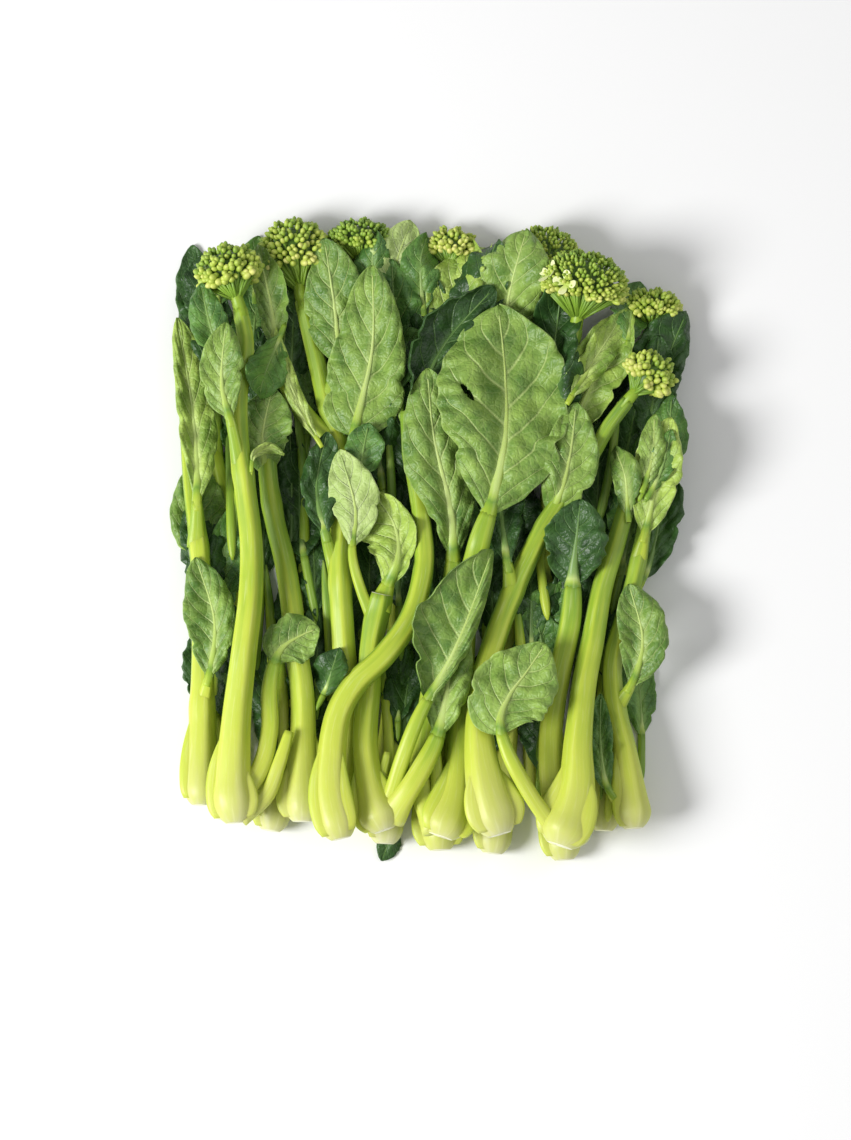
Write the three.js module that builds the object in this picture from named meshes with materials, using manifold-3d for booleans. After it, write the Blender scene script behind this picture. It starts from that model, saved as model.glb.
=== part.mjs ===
// A bunch of baby choy sum as cut: seventeen young plants laid down side by side, butts towards -Y and
// flower buds towards +Y, in three loose layers. Millimetres, +Z up, the surface under the bunch at z = 0
// and the origin under the middle of the bunch.
// Each plant is one green stem solid (butt, stem and leaf stalks grown together), a solid for each leaf
// blade, and a solid for its head of flower buds.
// The plants are written as they lie in plan. Their heights come from laying them down one by one on a
// height field: a stem or stalk bends over what is under it, and a blade drapes over it.
import * as THREE from "three";
import Module from "manifold-3d";

const wasm = await Module();
wasm.setup();

// Driving dimensions
const STEM_FLATNESS = 0.88; // a stem's depth over its width
const STALK_FLATNESS = 0.8; // a leaf stalk's depth over its width
const STEM_SIDES = 8;
const STALK_SIDES = 6;
const STEM_STEP = 12; // between a stem's sections
const STALK_STEP = 10;
const BUTT_ROUNDING = 2.5; // length over which the cut end swells to the full butt
const BUTT_TAPER = 0.22; // share of the stem over which the butt narrows to the waist
const BLADE_THICKNESS = 0.7;
const BUD_RELIEF = 2; // how far a bud stands out of its head
const HEAD_FLATNESS = 0.74; // a bud head's depth over its width
const CLEARANCE = 0.5; // between neighbours that touch
const JOINT_GAP = 0.3; // between a stalk and its blade
const HEAD_GAP = 0.5; // between a stem and its buds

// How stiff things hang, as the bend of a free stretch per millimetre
const STEM_SAG = 0.004;
const STALK_SAG = 0.009;
const END_DROOP = 0.06; // slope at a free end

// Colours of the plain solids
const FINISH = {
  stem: new THREE.MeshStandardMaterial({ color: 0xb4cc45, roughness: 0.45 }),
  leaf: new THREE.MeshStandardMaterial({ color: 0x6b9c45, roughness: 0.6 }),
  light: new THREE.MeshStandardMaterial({ color: 0x93b950, roughness: 0.6 }),
  dark: new THREE.MeshStandardMaterial({ color: 0x3b6b35, roughness: 0.6 }),
  buds: new THREE.MeshStandardMaterial({ color: 0x9dbd3c, roughness: 0.7 }),
};

// The plants, in plan. A stem's route runs from its butt to its top, with its width at the butt, the waist
// and the top. A leaf's route runs from its root on the stem along the stalk and the midrib to the tip, with
// the stalk's width, the blade's length, the blade's reach to the left and right of the midrib, how far each
// margin is lifted, and the share of the length at which the blade is widest. A small leaf is one with its
// stem's solid. A shoot is a stalk with no blade. Turns say what is laid first.
const plants = [
  {
    name: "back_1",
    turn: 1,
    stem: {
      route: [[-63, -84], [-62, -68], [-59, -46], [-58, -25], [-60, -2], [-66, 27], [-71, 47], [-73, 65]],
      width: [11, 7.5, 4],
    },
    leaves: [
      {
        route: [[-66, 27], [-66, 43], [-68, 65], [-74, 96]],
        stalk: 3.4, length: 48, reach: [8.5, 8], lift: [3, -2], finish: "dark",
      },
      {
        route: [[-60, -20], [-66, -8], [-71, 6], [-72, 26]],
        stalk: 3.4, length: 36, reach: [8, 9], lift: [2, 1], finish: "leaf",
      },
    ],
    smallLeaves: [
      {
        route: [[-58, -38], [-62, -26], [-63, -8], [-60, 12]],
        stalk: 3, length: 36, reach: [5, 6], lift: [1, 1], turn: 2,
      },
    ],
  },
  {
    name: "back_2",
    turn: 1,
    stem: {
      route: [
        [-48, -89], [-45, -71], [-41, -49], [-37, -31], [-38, -15], [-41, 9], [-45, 28], [-47, 43],
        [-50, 62],
      ],
      width: [12, 7.5, 4],
    },
    leaves: [
      {
        route: [[-45, 24], [-49, 36], [-51, 46], [-48, 68]],
        stalk: 3.2, length: 30, reach: [10, 6], lift: [-1, 1], widest: 0.36, finish: "dark", turn: 3,
      },
      {
        route: [[-38, -32], [-34, -24], [-30, -12], [-29, 4]],
        stalk: 3.4, length: 28, reach: [8, 8], lift: [2, 2], finish: "dark", turn: 3,
      },
    ],
    smallLeaves: [
      {
        route: [[-38, -16], [-32, -6], [-26, 8], [-20, 30]],
        stalk: 3, length: 40, reach: [7, 7], lift: [1, 1], turn: 2,
      },
      {
        route: [[-41, -54], [-36, -52], [-32, -46], [-28, -36]],
        stalk: 3, length: 16, reach: [5, 5], lift: [2, 1], turn: 3,
      },
    ],
  },
  {
    name: "back_3",
    turn: 1,
    stem: {
      route: [
        [-13, -93], [-12, -74], [-10, -49], [-9, -25], [-10, 0], [-13, 25], [-14, 49], [-18, 74],
        [-21, 87],
      ],
      width: [12, 8, 4.5],
    },
    head: { tip: [-21, 102], width: 19 },
    leaves: [
      {
        route: [[-12, 12], [-15, 28], [-15, 45], [-12, 67]],
        stalk: 3.6, length: 40, reach: [12, 10], lift: [1, 2], finish: "dark", turn: 2,
      },
      {
        route: [[-17, 69], [-14, 74], [-12, 81], [-5, 102]],
        stalk: 4.2, length: 28, reach: [8.5, 8], lift: [2, 3], finish: "light", turn: 3,
      },
    ],
  },
  {
    name: "back_4",
    turn: 1,
    stem: {
      route: [[4, -95], [3, -77], [2, -55], [1, -31], [0, -6], [1, 22], [1, 43], [4, 68], [7, 86]],
      width: [13, 8, 4.5],
    },
    head: { tip: [8, 100], width: 14 },
    leaves: [
      {
        route: [[1, 4], [-3, 18], [-4, 34], [-1, 52]],
        stalk: 3.6, length: 36, reach: [9, 10], lift: [2, 1], finish: "dark", turn: 2,
      },
      {
        route: [[2, 57], [3, 64], [6, 73], [15, 88]],
        stalk: 3.8, length: 26, reach: [11, 10], lift: [2, 2], widest: 0.4, finish: "light", turn: 3,
      },
    ],
  },
  {
    name: "back_5",
    turn: 1,
    stem: {
      route: [[20, -96], [22, -77], [25, -49], [26, -25], [27, 0], [27, 28], [29, 55], [34, 77]],
      width: [12, 8, 4.5],
    },
    head: { tip: [38, 99], width: 22 },
    leaves: [
      {
        route: [[28, 44], [24, 57], [25, 74], [31, 97]],
        stalk: 3.8, length: 36, reach: [11, 11], lift: [1, 3], finish: "leaf", turn: 3,
      },
    ],
    smallLeaves: [
      {
        route: [[26, -30], [20, -18], [14, 0], [12, 26]],
        stalk: 3, length: 44, reach: [8, 8], lift: [1, 1], turn: 2,
      },
      {
        route: [[27, 24], [20, 36], [14, 50], [17, 76]],
        stalk: 3, length: 40, reach: [9, 8], lift: [1, 2], turn: 2,
      },
    ],
  },
  {
    name: "back_6",
    turn: 1,
    stem: {
      route: [[42, -98], [40, -76], [37, -49], [37, -25], [37, 0], [39, 25], [42, 49], [46, 66]],
      width: [12, 8, 5],
    },
    head: { tip: [50, 88], width: 25 },
    leaves: [
      {
        route: [[37, -24], [44, -10], [50, 4], [53, 28]],
        stalk: 4, length: 46, reach: [11, 10], lift: [1, 2], finish: "dark", turn: 2,
      },
      {
        route: [[39, 22], [44, 34], [52, 51], [63, 73]],
        stalk: 4, length: 46, reach: [9, 11], lift: [4, -1], finish: "light", turn: 3,
      },
    ],
    smallLeaves: [
      {
        route: [[37, -50], [34, -40], [35, -28], [43, -12]],
        stalk: 3, length: 30, reach: [8, 8], lift: [2, 1], turn: 2,
      },
    ],
  },
  {
    name: "back_7",
    turn: 1,
    stem: {
      route: [[54, -89], [55, -68], [58, -43], [61, -18], [64, 6], [67, 31], [69, 52], [70, 66]],
      width: [11, 7.5, 4.5],
    },
    head: { tip: [70, 80], width: 17 },
    leaves: [
      {
        route: [[61, -20], [68, -8], [72, 8], [74, 28]],
        stalk: 3.4, length: 40, reach: [8, 7], lift: [2, 3], finish: "dark", turn: 2,
      },
      {
        route: [[67, 30], [72, 42], [74, 55], [81, 73]],
        stalk: 3.4, length: 38, reach: [11, 6], lift: [1, 2], finish: "dark", turn: 2,
      },
    ],
  },
  {
    name: "middle",
    turn: 4,
    stem: {
      route: [
        [-30, -85], [-26, -65], [-25, -46], [-26, -28], [-27, -6], [-26, 12], [-27, 28], [-31, 43],
        [-35, 60], [-39, 77],
      ],
      width: [11, 8, 5.5],
    },
    head: { tip: [-43, 102], width: 21 },
    leaves: [
      {
        route: [[-29, 31], [-36, 38], [-43, 48], [-47, 63], [-49, 76], [-53, 93]],
        stalk: 5, length: 34, reach: [4.5, 7], lift: [2, 3], finish: "leaf",
      },
      {
        route: [[-31, 44], [-28, 54], [-28, 66], [-32, 95]],
        stalk: 4, length: 39, reach: [9, 10], lift: [0, 2], widest: 0.45, finish: "leaf", turn: 5,
      },
      {
        route: [[-27, 14], [-24, 24], [-22, 36], [-17, 60], [-17, 86]],
        stalk: 4.4, length: 54, reach: [13, 12.5], lift: [-1, -2], widest: 0.34, finish: "leaf", turn: 5,
      },
      {
        route: [[-27, -14], [-31, 0], [-34, 16], [-31, 34]],
        stalk: 3.8, length: 33, reach: [5, 8], lift: [1, 2], finish: "dark", turn: 7,
      },
    ],
    smallLeaves: [
      {
        route: [[-27, 6], [-24, 14], [-21, 22], [-18, 36]],
        stalk: 3, length: 18, reach: [6, 6.5], lift: [2, 1], turn: 6,
      },
    ],
  },
  {
    name: "front_1",
    turn: 4,
    stem: {
      route: [[-69, -82], [-69, -71], [-69, -49], [-69, -31], [-70, -6], [-73, 18], [-75, 40], [-76, 55]],
      width: [11, 8, 4],
    },
    leaves: [
      {
        route: [[-71, -2], [-71, 22], [-73, 43], [-78, 71]],
        stalk: 4, length: 60, reach: [5, 7.5], lift: [3, 0], finish: "light", turn: 5,
      },
      {
        route: [[-69, -52], [-66, -40], [-65, -26], [-71, -6]],
        stalk: 3.4, length: 38, reach: [9, 7], lift: [2, 2], finish: "leaf", turn: 5,
      },
    ],
  },
  {
    name: "front_3",
    turn: 5,
    stem: {
      route: [
        [-38, -87], [-38, -74], [-38, -49], [-40, -34], [-42, -18], [-44, -6], [-47, 6], [-49, 18],
        [-50, 31],
      ],
      width: [12.5, 8, 6],
    },
    leaves: [
      {
        route: [[-48, 12], [-50, 22], [-51, 32], [-48, 48]],
        stalk: 4.2, length: 27, reach: [8, 9], lift: [2, 3], finish: "leaf",
      },
    ],
  },
  {
    name: "front_2",
    turn: 6,
    stem: {
      route: [
        [-58, -88], [-59, -77], [-58, -55], [-56, -37], [-54, -18], [-54, -2], [-56, 15], [-58, 31],
        [-58, 46], [-56, 60], [-58, 72],
      ],
      width: [12.5, 9, 5],
    },
    head: { tip: [-64, 91], width: 19 },
    shoots: [
      {
        route: [[-57, -86], [-49, -80], [-45, -70], [-42, -60]],
        width: [5.5, 3.5],
      },
    ],
    leaves: [
      {
        route: [[-57, -80], [-51, -72], [-48, -60], [-48, -46], [-45, -35], [-38, -30], [-33, -28]],
        stalk: 5, length: 18, reach: [8, 8], lift: [2, -1], finish: "leaf", turn: 7,
      },
      {
        route: [[-57, 20], [-60, 34], [-63, 46], [-62, 66]],
        stalk: 3.6, length: 30, reach: [6.5, 7], lift: [2, 3], finish: "leaf", turn: 7,
      },
    ],
    smallLeaves: [
      {
        route: [[-57, 50], [-61, 55], [-66, 63], [-70, 79]],
        stalk: 3, length: 26, reach: [6, 5.5], lift: [1, 2],
      },
    ],
  },
  {
    name: "front_5",
    turn: 5,
    stem: {
      route: [[-13, -90], [-17, -78], [-19, -63], [-18, -46], [-17, -31], [-14, -17]],
      width: [13, 8.5, 7],
    },
    shoots: [
      {
        route: [[-12, -84], [-14, -76], [-12, -66]],
        width: [5, 3],
      },
    ],
    leaves: [
      {
        route: [[-15, -22], [-12, -14], [-9, -6], [-10, 4], [-17, 15]],
        stalk: 5.5, length: 32, reach: [12, 6], lift: [-1, 4], finish: "light", turn: 7,
      },
      {
        route: [[-16, -26], [-20, -17], [-23, -5], [-22, 8], [-27, 27]],
        stalk: 3, length: 30, reach: [7, 7.5], lift: [1, 2], finish: "light", turn: 8,
      },
      {
        route: [[-11, -86], [-3, -74], [3, -62], [6, -49], [9, -24]],
        stalk: 6, length: 38, reach: [8, 7], lift: [3, -1], finish: "leaf", turn: 9,
      },
      {
        route: [[-12, -84], [-8, -70], [-2, -55], [8, -37], [20, -5]],
        stalk: 4.4, length: 50, reach: [18, 4], lift: [-2, 3], widest: 0.46, finish: "leaf", turn: 11,
      },
    ],
  },
  {
    name: "front_4",
    turn: 6,
    stem: {
      route: [
        [-26, -93], [-29, -80], [-29, -68], [-27, -55], [-22, -46], [-13, -37], [-5, -25], [-1, -9],
        [-2, 9], [-5, 28], [-6, 40],
      ],
      width: [12.5, 8.5, 5],
    },
    leaves: [
      {
        route: [[-5, 26], [-2, 42], [5, 60], [21, 79]],
        stalk: 3.8, length: 48, reach: [12, 9], lift: [3, -1], finish: "dark", turn: 7,
      },
    ],
  },
  {
    name: "front_9",
    turn: 6,
    stem: {
      route: [[63, -89], [62, -77], [60, -63], [57, -49], [57, -36], [61, -22], [65, -6], [68, 10]],
      width: [11.5, 7.5, 4.5],
    },
    leaves: [
      {
        route: [[58, -52], [63, -44], [66, -32], [62, -14]],
        stalk: 3.4, length: 32, reach: [7.5, 8], lift: [3, 3], finish: "leaf", turn: 7,
      },
      {
        route: [[65, -6], [68, 6], [71, 20], [75, 37]],
        stalk: 3.4, length: 36, reach: [8, 7], lift: [3, 2], finish: "light", turn: 8,
      },
    ],
    smallLeaves: [
      {
        route: [[61, -84], [55, -77], [53, -66], [53, -48]],
        stalk: 3, length: 30, reach: [4.5, 4], lift: [1, 2],
      },
    ],
  },
  {
    name: "front_6",
    turn: 7,
    stem: {
      route: [[4, -92], [8, -80], [10, -63], [11, -46], [12, -28], [14, -9]],
      width: [15, 7.5, 6.5],
    },
    shoots: [
      {
        route: [[4, -86], [3, -74], [2, -60]],
        width: [4.5, 3.5],
      },
    ],
    leaves: [
      {
        route: [[3, -90], [-2, -77], [-1, -62], [2, -43], [6, -25], [8, -6], [7, 9], [2, 31], [0, 52]],
        stalk: 6, length: 59, reach: [10, 10], lift: [1, -1], widest: 0.55, finish: "leaf", turn: 8,
      },
      {
        route: [[13, -15], [16, -2], [20, 11], [24, 31], [24, 51], [22, 73]],
        stalk: 6.5, length: 67, reach: [21, 20], lift: [2, 2], widest: 0.54, finish: "leaf", turn: 10,
      },
    ],
  },
  {
    name: "front_7",
    turn: 7,
    stem: {
      route: [
        [22, -92], [18, -78], [16, -63], [17, -46], [21, -31], [27, -15], [34, 0], [41, 12],
        [50, 25], [56, 35], [62, 43],
      ],
      width: [15, 8.5, 4.5],
    },
    head: { tip: [73, 56], width: 15 },
    leaves: [
      {
        route: [[26, -17], [24, -4], [23, 12], [28, 35]],
        stalk: 3.8, length: 44, reach: [6.5, 7], lift: [2, 1], finish: "dark", turn: 8,
      },
      {
        route: [[36, 4], [41, 14], [44, 26], [46, 42]],
        stalk: 4, length: 35, reach: [8.5, 9], lift: [3, 1], widest: 0.42, finish: "leaf", turn: 8,
      },
    ],
  },
  {
    name: "front_8",
    turn: 7,
    stem: {
      route: [
        [40, -95], [45, -80], [46, -63], [48, -46], [51, -31], [54, -15], [58, -2], [62, 11],
        [67, 22], [71, 32],
      ],
      width: [16, 9, 4.5],
    },
    leaves: [
      {
        route: [[41, -90], [38, -77], [38, -58], [41, -40], [44, -25], [45, -9], [47, 11]],
        stalk: 6.5, length: 26, reach: [9.5, 9.5], lift: [2, 3], finish: "dark", turn: 8,
      },
      {
        route: [[40, -92], [31, -80], [24, -67], [22, -58], [25, -50], [30, -43], [36, -34]],
        stalk: 4.4, length: 32, reach: [12, 13], lift: [1, 0], widest: 0.42, finish: "leaf", turn: 9,
      },
    ],
    smallLeaves: [
      {
        route: [[64, 14], [69, 20], [74, 30], [76, 46]],
        stalk: 3, length: 28, reach: [6, 6], lift: [2, 2],
      },
    ],
  },
];

// The height field of the pile: the top of what already lies in each cell, and which plant's stem it is
const CELL = 0.7;
const FIELD = { left: -98, right: 98, front: -112, back: 112 };
const COLUMNS = Math.ceil((FIELD.right - FIELD.left) / CELL);
const ROWS = Math.ceil((FIELD.back - FIELD.front) / CELL);
const NOBODY = -1;
const BLADE = -2;
const pile = {
  top: new Float32Array(COLUMNS * ROWS),
  owner: new Int16Array(COLUMNS * ROWS).fill(NOBODY),
};

const columnOf = (x) => Math.floor((x - FIELD.left) / CELL);
const rowOf = (y) => Math.floor((y - FIELD.front) / CELL);
const cellX = (column) => FIELD.left + (column + 0.5) * CELL;
const cellY = (row) => FIELD.front + (row + 0.5) * CELL;

// The height that a piece's underside keeps above a cell, or nothing where the cell is the piece's own plant
function clearHeight(cell, plant) {
  const owner = pile.owner[cell];
  if (owner === NOBODY) return 0;
  if (owner === plant) return -Infinity;
  return pile.top[cell] + CLEARANCE;
}

// Calls visit(cell, height) for each cell whose middle is under the triangle a, b, c
function eachCellUnder(a, b, c, visit) {
  const area = (b[0] - a[0]) * (c[1] - a[1]) - (c[0] - a[0]) * (b[1] - a[1]);
  if (Math.abs(area) < 1e-9) return;
  const firstRow = rowOf(Math.min(a[1], b[1], c[1]));
  const lastRow = rowOf(Math.max(a[1], b[1], c[1]));
  const firstColumn = columnOf(Math.min(a[0], b[0], c[0]));
  const lastColumn = columnOf(Math.max(a[0], b[0], c[0]));
  for (let row = firstRow; row <= lastRow; row++)
    for (let column = firstColumn; column <= lastColumn; column++) {
      const x = cellX(column);
      const y = cellY(row);
      const wb = ((x - a[0]) * (c[1] - a[1]) - (c[0] - a[0]) * (y - a[1])) / area;
      const wc = ((b[0] - a[0]) * (y - a[1]) - (x - a[0]) * (b[1] - a[1])) / area;
      const wa = 1 - wb - wc;
      if (wa < 0 || wb < 0 || wc < 0) continue;
      visit(row * COLUMNS + column, wa * a[2] + wb * b[2] + wc * c[2]);
    }
}

const facesUp = (a, b, c) => (b[0] - a[0]) * (c[1] - a[1]) - (c[0] - a[0]) * (b[1] - a[1]) > 0;

// Adds a finished solid to the pile, one cell wider than it is, so that neighbours stay clear of it
function heapUp(solid, owner) {
  for (const [i, j, k] of solid.faces) {
    const [a, b, c] = [solid.points[i], solid.points[j], solid.points[k]];
    if (!facesUp(a, b, c)) continue;
    eachCellUnder(a, b, c, (cell, height) => {
      for (const across of [-1, 0, 1])
        for (const along of [-1, 0, 1]) {
          const near = cell + across + along * COLUMNS;
          if (height <= pile.top[near]) continue;
          pile.top[near] = height;
          pile.owner[near] = owner;
        }
    });
  }
}

// How far each point of a solid has to rise before the solid's underside clears the pile
function shortfall(solid, plant) {
  const missing = Float64Array.from(solid.points, ([, , z]) => Math.max(0, -z));
  for (const face of solid.faces) {
    const [a, b, c] = face.map((i) => solid.points[i]);
    if (facesUp(a, b, c)) continue;
    eachCellUnder(a, b, c, (cell, height) => {
      const short = clearHeight(cell, plant) - height;
      if (short > 0) for (const i of face) missing[i] = Math.max(missing[i], short);
    });
  }
  return missing;
}

// A plan curve through hand-set points
const planCurve = (route) => new THREE.CatmullRomCurve3(route.map(([x, y]) => new THREE.Vector3(x, y, 0)));

// A section's place on a plan curve, at a distance from its start
function stationAt(curve, distance) {
  const share = THREE.MathUtils.clamp(distance / curve.getLength(), 0, 1);
  const at = curve.getPointAt(share);
  const way = curve.getTangentAt(share);
  return { distance, x: at.x, y: at.y, way: [way.x, way.y], left: [-way.y, way.x] };
}

// The lowest height at which a section's middle clears the pile
function restingHeight(station, reach, plant) {
  let height = station.depth / 2;
  const span = Math.hypot(reach, station.width / 2) + CELL;
  for (let row = rowOf(station.y - span); row <= rowOf(station.y + span); row++)
    for (let column = columnOf(station.x - span); column <= columnOf(station.x + span); column++) {
      const dx = cellX(column) - station.x;
      const dy = cellY(row) - station.y;
      const along = dx * station.way[0] + dy * station.way[1];
      const across = (dx * station.left[0] + dy * station.left[1]) / (station.width / 2);
      if (Math.abs(along) > reach || Math.abs(across) > 1) continue;
      const belly = (station.depth / 2) * (station.flat ? 1 : Math.sqrt(1 - across * across));
      height = Math.max(height, clearHeight(row * COLUMNS + column, plant) + belly);
    }
  return height;
}

// Lets a row of sections down on the pile as a bendy rod. With a start height its first section is held.
const SETTLING_ROUNDS = 600;
const SMOOTHING_ROUNDS = 4;
const SECTION_SHARE = 0.35; // how far a section feels the pile, as a share of its neighbours' distance
function settle(stations, { sag, plant, start, atLeast = [] }) {
  const floor = stations.map((station, i) => {
    const before = stations[Math.max(i - 1, 0)].distance;
    const after = stations[Math.min(i + 1, stations.length - 1)].distance;
    const reach = Math.max((after - before) * SECTION_SHARE, CELL);
    const rest = restingHeight(station, reach, station.free ? undefined : plant);
    return Math.max(rest, atLeast[i] ?? 0);
  });
  const height = floor.map((value) => value);
  const last = stations.length - 1;
  const held = start !== undefined;
  if (held) height[0] = start;
  for (let round = 0; round < SETTLING_ROUNDS; round++) {
    for (let i = 1; i < last; i++) {
      const back = stations[i].distance - stations[i - 1].distance;
      const on = stations[i + 1].distance - stations[i].distance;
      const straight = (height[i - 1] * on + height[i + 1] * back) / (back + on);
      height[i] = Math.max(floor[i], straight - (sag * back * on) / 2);
    }
    const lastStep = stations[last].distance - stations[last - 1].distance;
    height[last] = Math.max(floor[last], height[last - 1] - END_DROOP * lastStep);
    const firstStep = stations[1].distance - stations[0].distance;
    if (!held) height[0] = Math.max(floor[0], height[1] - END_DROOP * firstStep);
  }
  for (let round = 0; round < SMOOTHING_ROUNDS; round++)
    for (let i = 1; i < last; i++)
      height[i] = Math.max(floor[i], (height[i - 1] + 2 * height[i] + height[i + 1]) / 4);
  return height;
}

// A closed tube through its sections, each an ellipse that touches the tube's flats, with level sides
function tube(stations, height, sides) {
  const points = [];
  const faces = [];
  const corner = 1 / Math.cos(Math.PI / sides);
  const underside = (i) => height[i] - stations[i].depth / 2;
  stations.forEach((station, i) => {
    const back = Math.max(i - 1, 0);
    const on = Math.min(i + 1, stations.length - 1);
    const run = stations[on].distance - stations[back].distance;
    const upright = i === 0 || i === stations.length - 1;
    const slope = upright ? 0 : Math.atan2(underside(on) - underside(back), run);
    for (let side = 0; side < sides; side++) {
      const angle = ((side + 0.5) / sides) * 2 * Math.PI - Math.PI / 2;
      const across = Math.cos(angle) * corner * (station.width / 2);
      const up = Math.sin(angle) * corner * (station.depth / 2);
      const lean = -up * Math.sin(slope);
      points.push([
        station.x - station.left[0] * across + station.way[0] * lean,
        station.y - station.left[1] * across + station.way[1] * lean,
        height[i] + up * Math.cos(slope),
      ]);
    }
  });
  for (let i = 0; i + 1 < stations.length; i++)
    for (let side = 0; side < sides; side++) {
      const next = (side + 1) % sides;
      const [a, b] = [i * sides + side, i * sides + next];
      faces.push([a, b + sides, b], [a, a + sides, b + sides]);
    }
  const lastRing = (stations.length - 1) * sides;
  for (let side = 1; side + 1 < sides; side++) {
    faces.push([0, side, side + 1]);
    faces.push([lastRing, lastRing + side + 1, lastRing + side]);
  }
  return { points, faces };
}

// Raises a tube's sections until its real underside clears the pile
const CLEARING_ROUNDS = 12;
const CLOSE_ENOUGH = 0.01;
function clearTube(stations, height, sides, plant) {
  for (let round = 0; round < CLEARING_ROUNDS; round++) {
    const missing = shortfall(tube(stations, height, sides), plant);
    const short = height.map((_, i) => Math.max(...missing.subarray(i * sides, (i + 1) * sides)));
    if (Math.max(...short) < CLOSE_ENOUGH) break;
    short.forEach((value, i) => (height[i] += value));
  }
  return tube(stations, height, sides);
}

// The stem's width at a distance from its butt
const CUT_FACE = 0.74; // the cut end's width over the butt's
const LATE_TAPER = 1.6; // over 1 the stem narrows mostly near its top
function stemWidth({ width: [butt, waist, top] }, distance, length) {
  const rounding = THREE.MathUtils.lerp(CUT_FACE, 1, Math.sqrt(Math.min(distance / BUTT_ROUNDING, 1)));
  const swell = Math.exp(-((distance / (BUTT_TAPER * length)) ** 2));
  const shaft = THREE.MathUtils.lerp(waist, top, (distance / length) ** LATE_TAPER);
  return rounding * (shaft + (butt - waist) * swell);
}

function stemStations(stem) {
  const curve = planCurve(stem.route);
  const length = curve.getLength() - JOINT_GAP;
  const steps = Math.round((length - BUTT_ROUNDING) / STEM_STEP);
  const distances = [0, BUTT_ROUNDING];
  for (let i = 1; i <= steps; i++) distances.push(BUTT_ROUNDING + (i / steps) * (length - BUTT_ROUNDING));
  return distances.map((distance) => {
    const width = stemWidth(stem, distance, length);
    return { ...stationAt(curve, distance), width, depth: width * STEM_FLATNESS };
  });
}

// The bud head: a cone of flower stalks that opens into a dome, with every other point of the dome raised
// as a bud. Rings are shares of the head's length with the ring's share of the half width.
const HEAD_CONE = [[0, 0.2], [0.2, 0.32], [0.38, 0.6]];
const DOME_MIDDLE = 0.62;
const DOME_ANGLES = [-30, -13, 4, 21, 38, 55, 72];
const DOME_RINGS = DOME_ANGLES.map((angle) => {
  const rise = THREE.MathUtils.degToRad(angle);
  return [DOME_MIDDLE + (1 - DOME_MIDDLE) * Math.sin(rise), Math.cos(rise)];
});
const HEAD_SIDES = 16;
const FLUTE = 0.1; // the flower stalks' relief, as a share of the cone's radius

function headRadius(share) {
  const rings = [...HEAD_CONE, ...DOME_RINGS];
  const next = Math.max(1, rings.findIndex(([at]) => at >= share));
  const [[from, narrow], [to, wide]] = [rings[next - 1], rings[next]];
  return THREE.MathUtils.lerp(narrow, wide, (share - from) / (to - from));
}

// A place on or in the head, from its share of the length, its angle and its share of the radius
function headPoint(frame, share, angle, radius) {
  return new THREE.Vector3()
    .copy(frame.base)
    .addScaledVector(frame.way, share * frame.length + HEAD_GAP)
    .addScaledVector(frame.side, (Math.cos(angle) * radius * frame.width) / 2)
    .addScaledVector(frame.up, (Math.sin(angle) * radius * frame.width * HEAD_FLATNESS) / 2);
}

function headSolid(frame) {
  const heart = headPoint(frame, HEAD_CONE[2][0], 0, 0);
  const points = [];
  const faces = [];
  const rings = [...HEAD_CONE, ...DOME_RINGS];
  rings.forEach(([share, radius], ring) => {
    const stalks = ring < HEAD_CONE.length;
    for (let side = 0; side < HEAD_SIDES; side++) {
      const angle = (side / HEAD_SIDES) * 2 * Math.PI;
      const raised = (side + (stalks ? 0 : ring)) % 2 === 0;
      if (stalks) {
        points.push(headPoint(frame, share, angle, radius * (raised ? 1 + FLUTE : 1 - FLUTE)).toArray());
        continue;
      }
      const place = headPoint(frame, share, angle, radius);
      const out = place.clone().sub(heart).normalize();
      points.push(place.addScaledVector(out, raised ? 0 : -BUD_RELIEF).toArray());
    }
  });
  for (let ring = 0; ring + 1 < rings.length; ring++)
    for (let side = 0; side < HEAD_SIDES; side++) {
      const [a, b] = [ring * HEAD_SIDES + side, ring * HEAD_SIDES + ((side + 1) % HEAD_SIDES)];
      const [c, d] = [b + HEAD_SIDES, a + HEAD_SIDES];
      const raisedFirst = (side + ring) % 2 === 0;
      if (raisedFirst) faces.push([a, c, b], [a, d, c]);
      else faces.push([a, d, b], [b, d, c]);
    }
  const lastRing = (rings.length - 1) * HEAD_SIDES;
  const crown = points.length;
  points.push(headPoint(frame, 1, 0, 0).toArray());
  for (let side = 0; side < HEAD_SIDES; side++)
    faces.push([lastRing + ((side + 1) % HEAD_SIDES), lastRing + side, crown]);
  for (let side = 1; side + 1 < HEAD_SIDES; side++) faces.push([0, side, side + 1]);
  return { points, faces };
}

function headFrame(base, lifted, head) {
  const way = new THREE.Vector3().subVectors(lifted, base);
  const length = way.length();
  way.normalize();
  const side = new THREE.Vector3(way.y, -way.x, 0).normalize();
  return { base, way, side, up: new THREE.Vector3().crossVectors(side, way), length, width: head.width };
}

// Sections that stand for the head while the stem is laid down
const HEAD_STATIONS = [0.35, 0.65, 0.95];
function headStations(stem, head) {
  const end = stem[stem.length - 1];
  const [dx, dy] = [head.tip[0] - end.x, head.tip[1] - end.y];
  const length = Math.hypot(dx, dy);
  const way = [dx / length, dy / length];
  return HEAD_STATIONS.map((share) => {
    const width = headRadius(share) * head.width;
    return {
      distance: end.distance + share * length,
      x: end.x + dx * share,
      y: end.y + dy * share,
      way,
      left: [-way[1], way[0]],
      width,
      depth: width * HEAD_FLATNESS,
    };
  });
}

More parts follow.
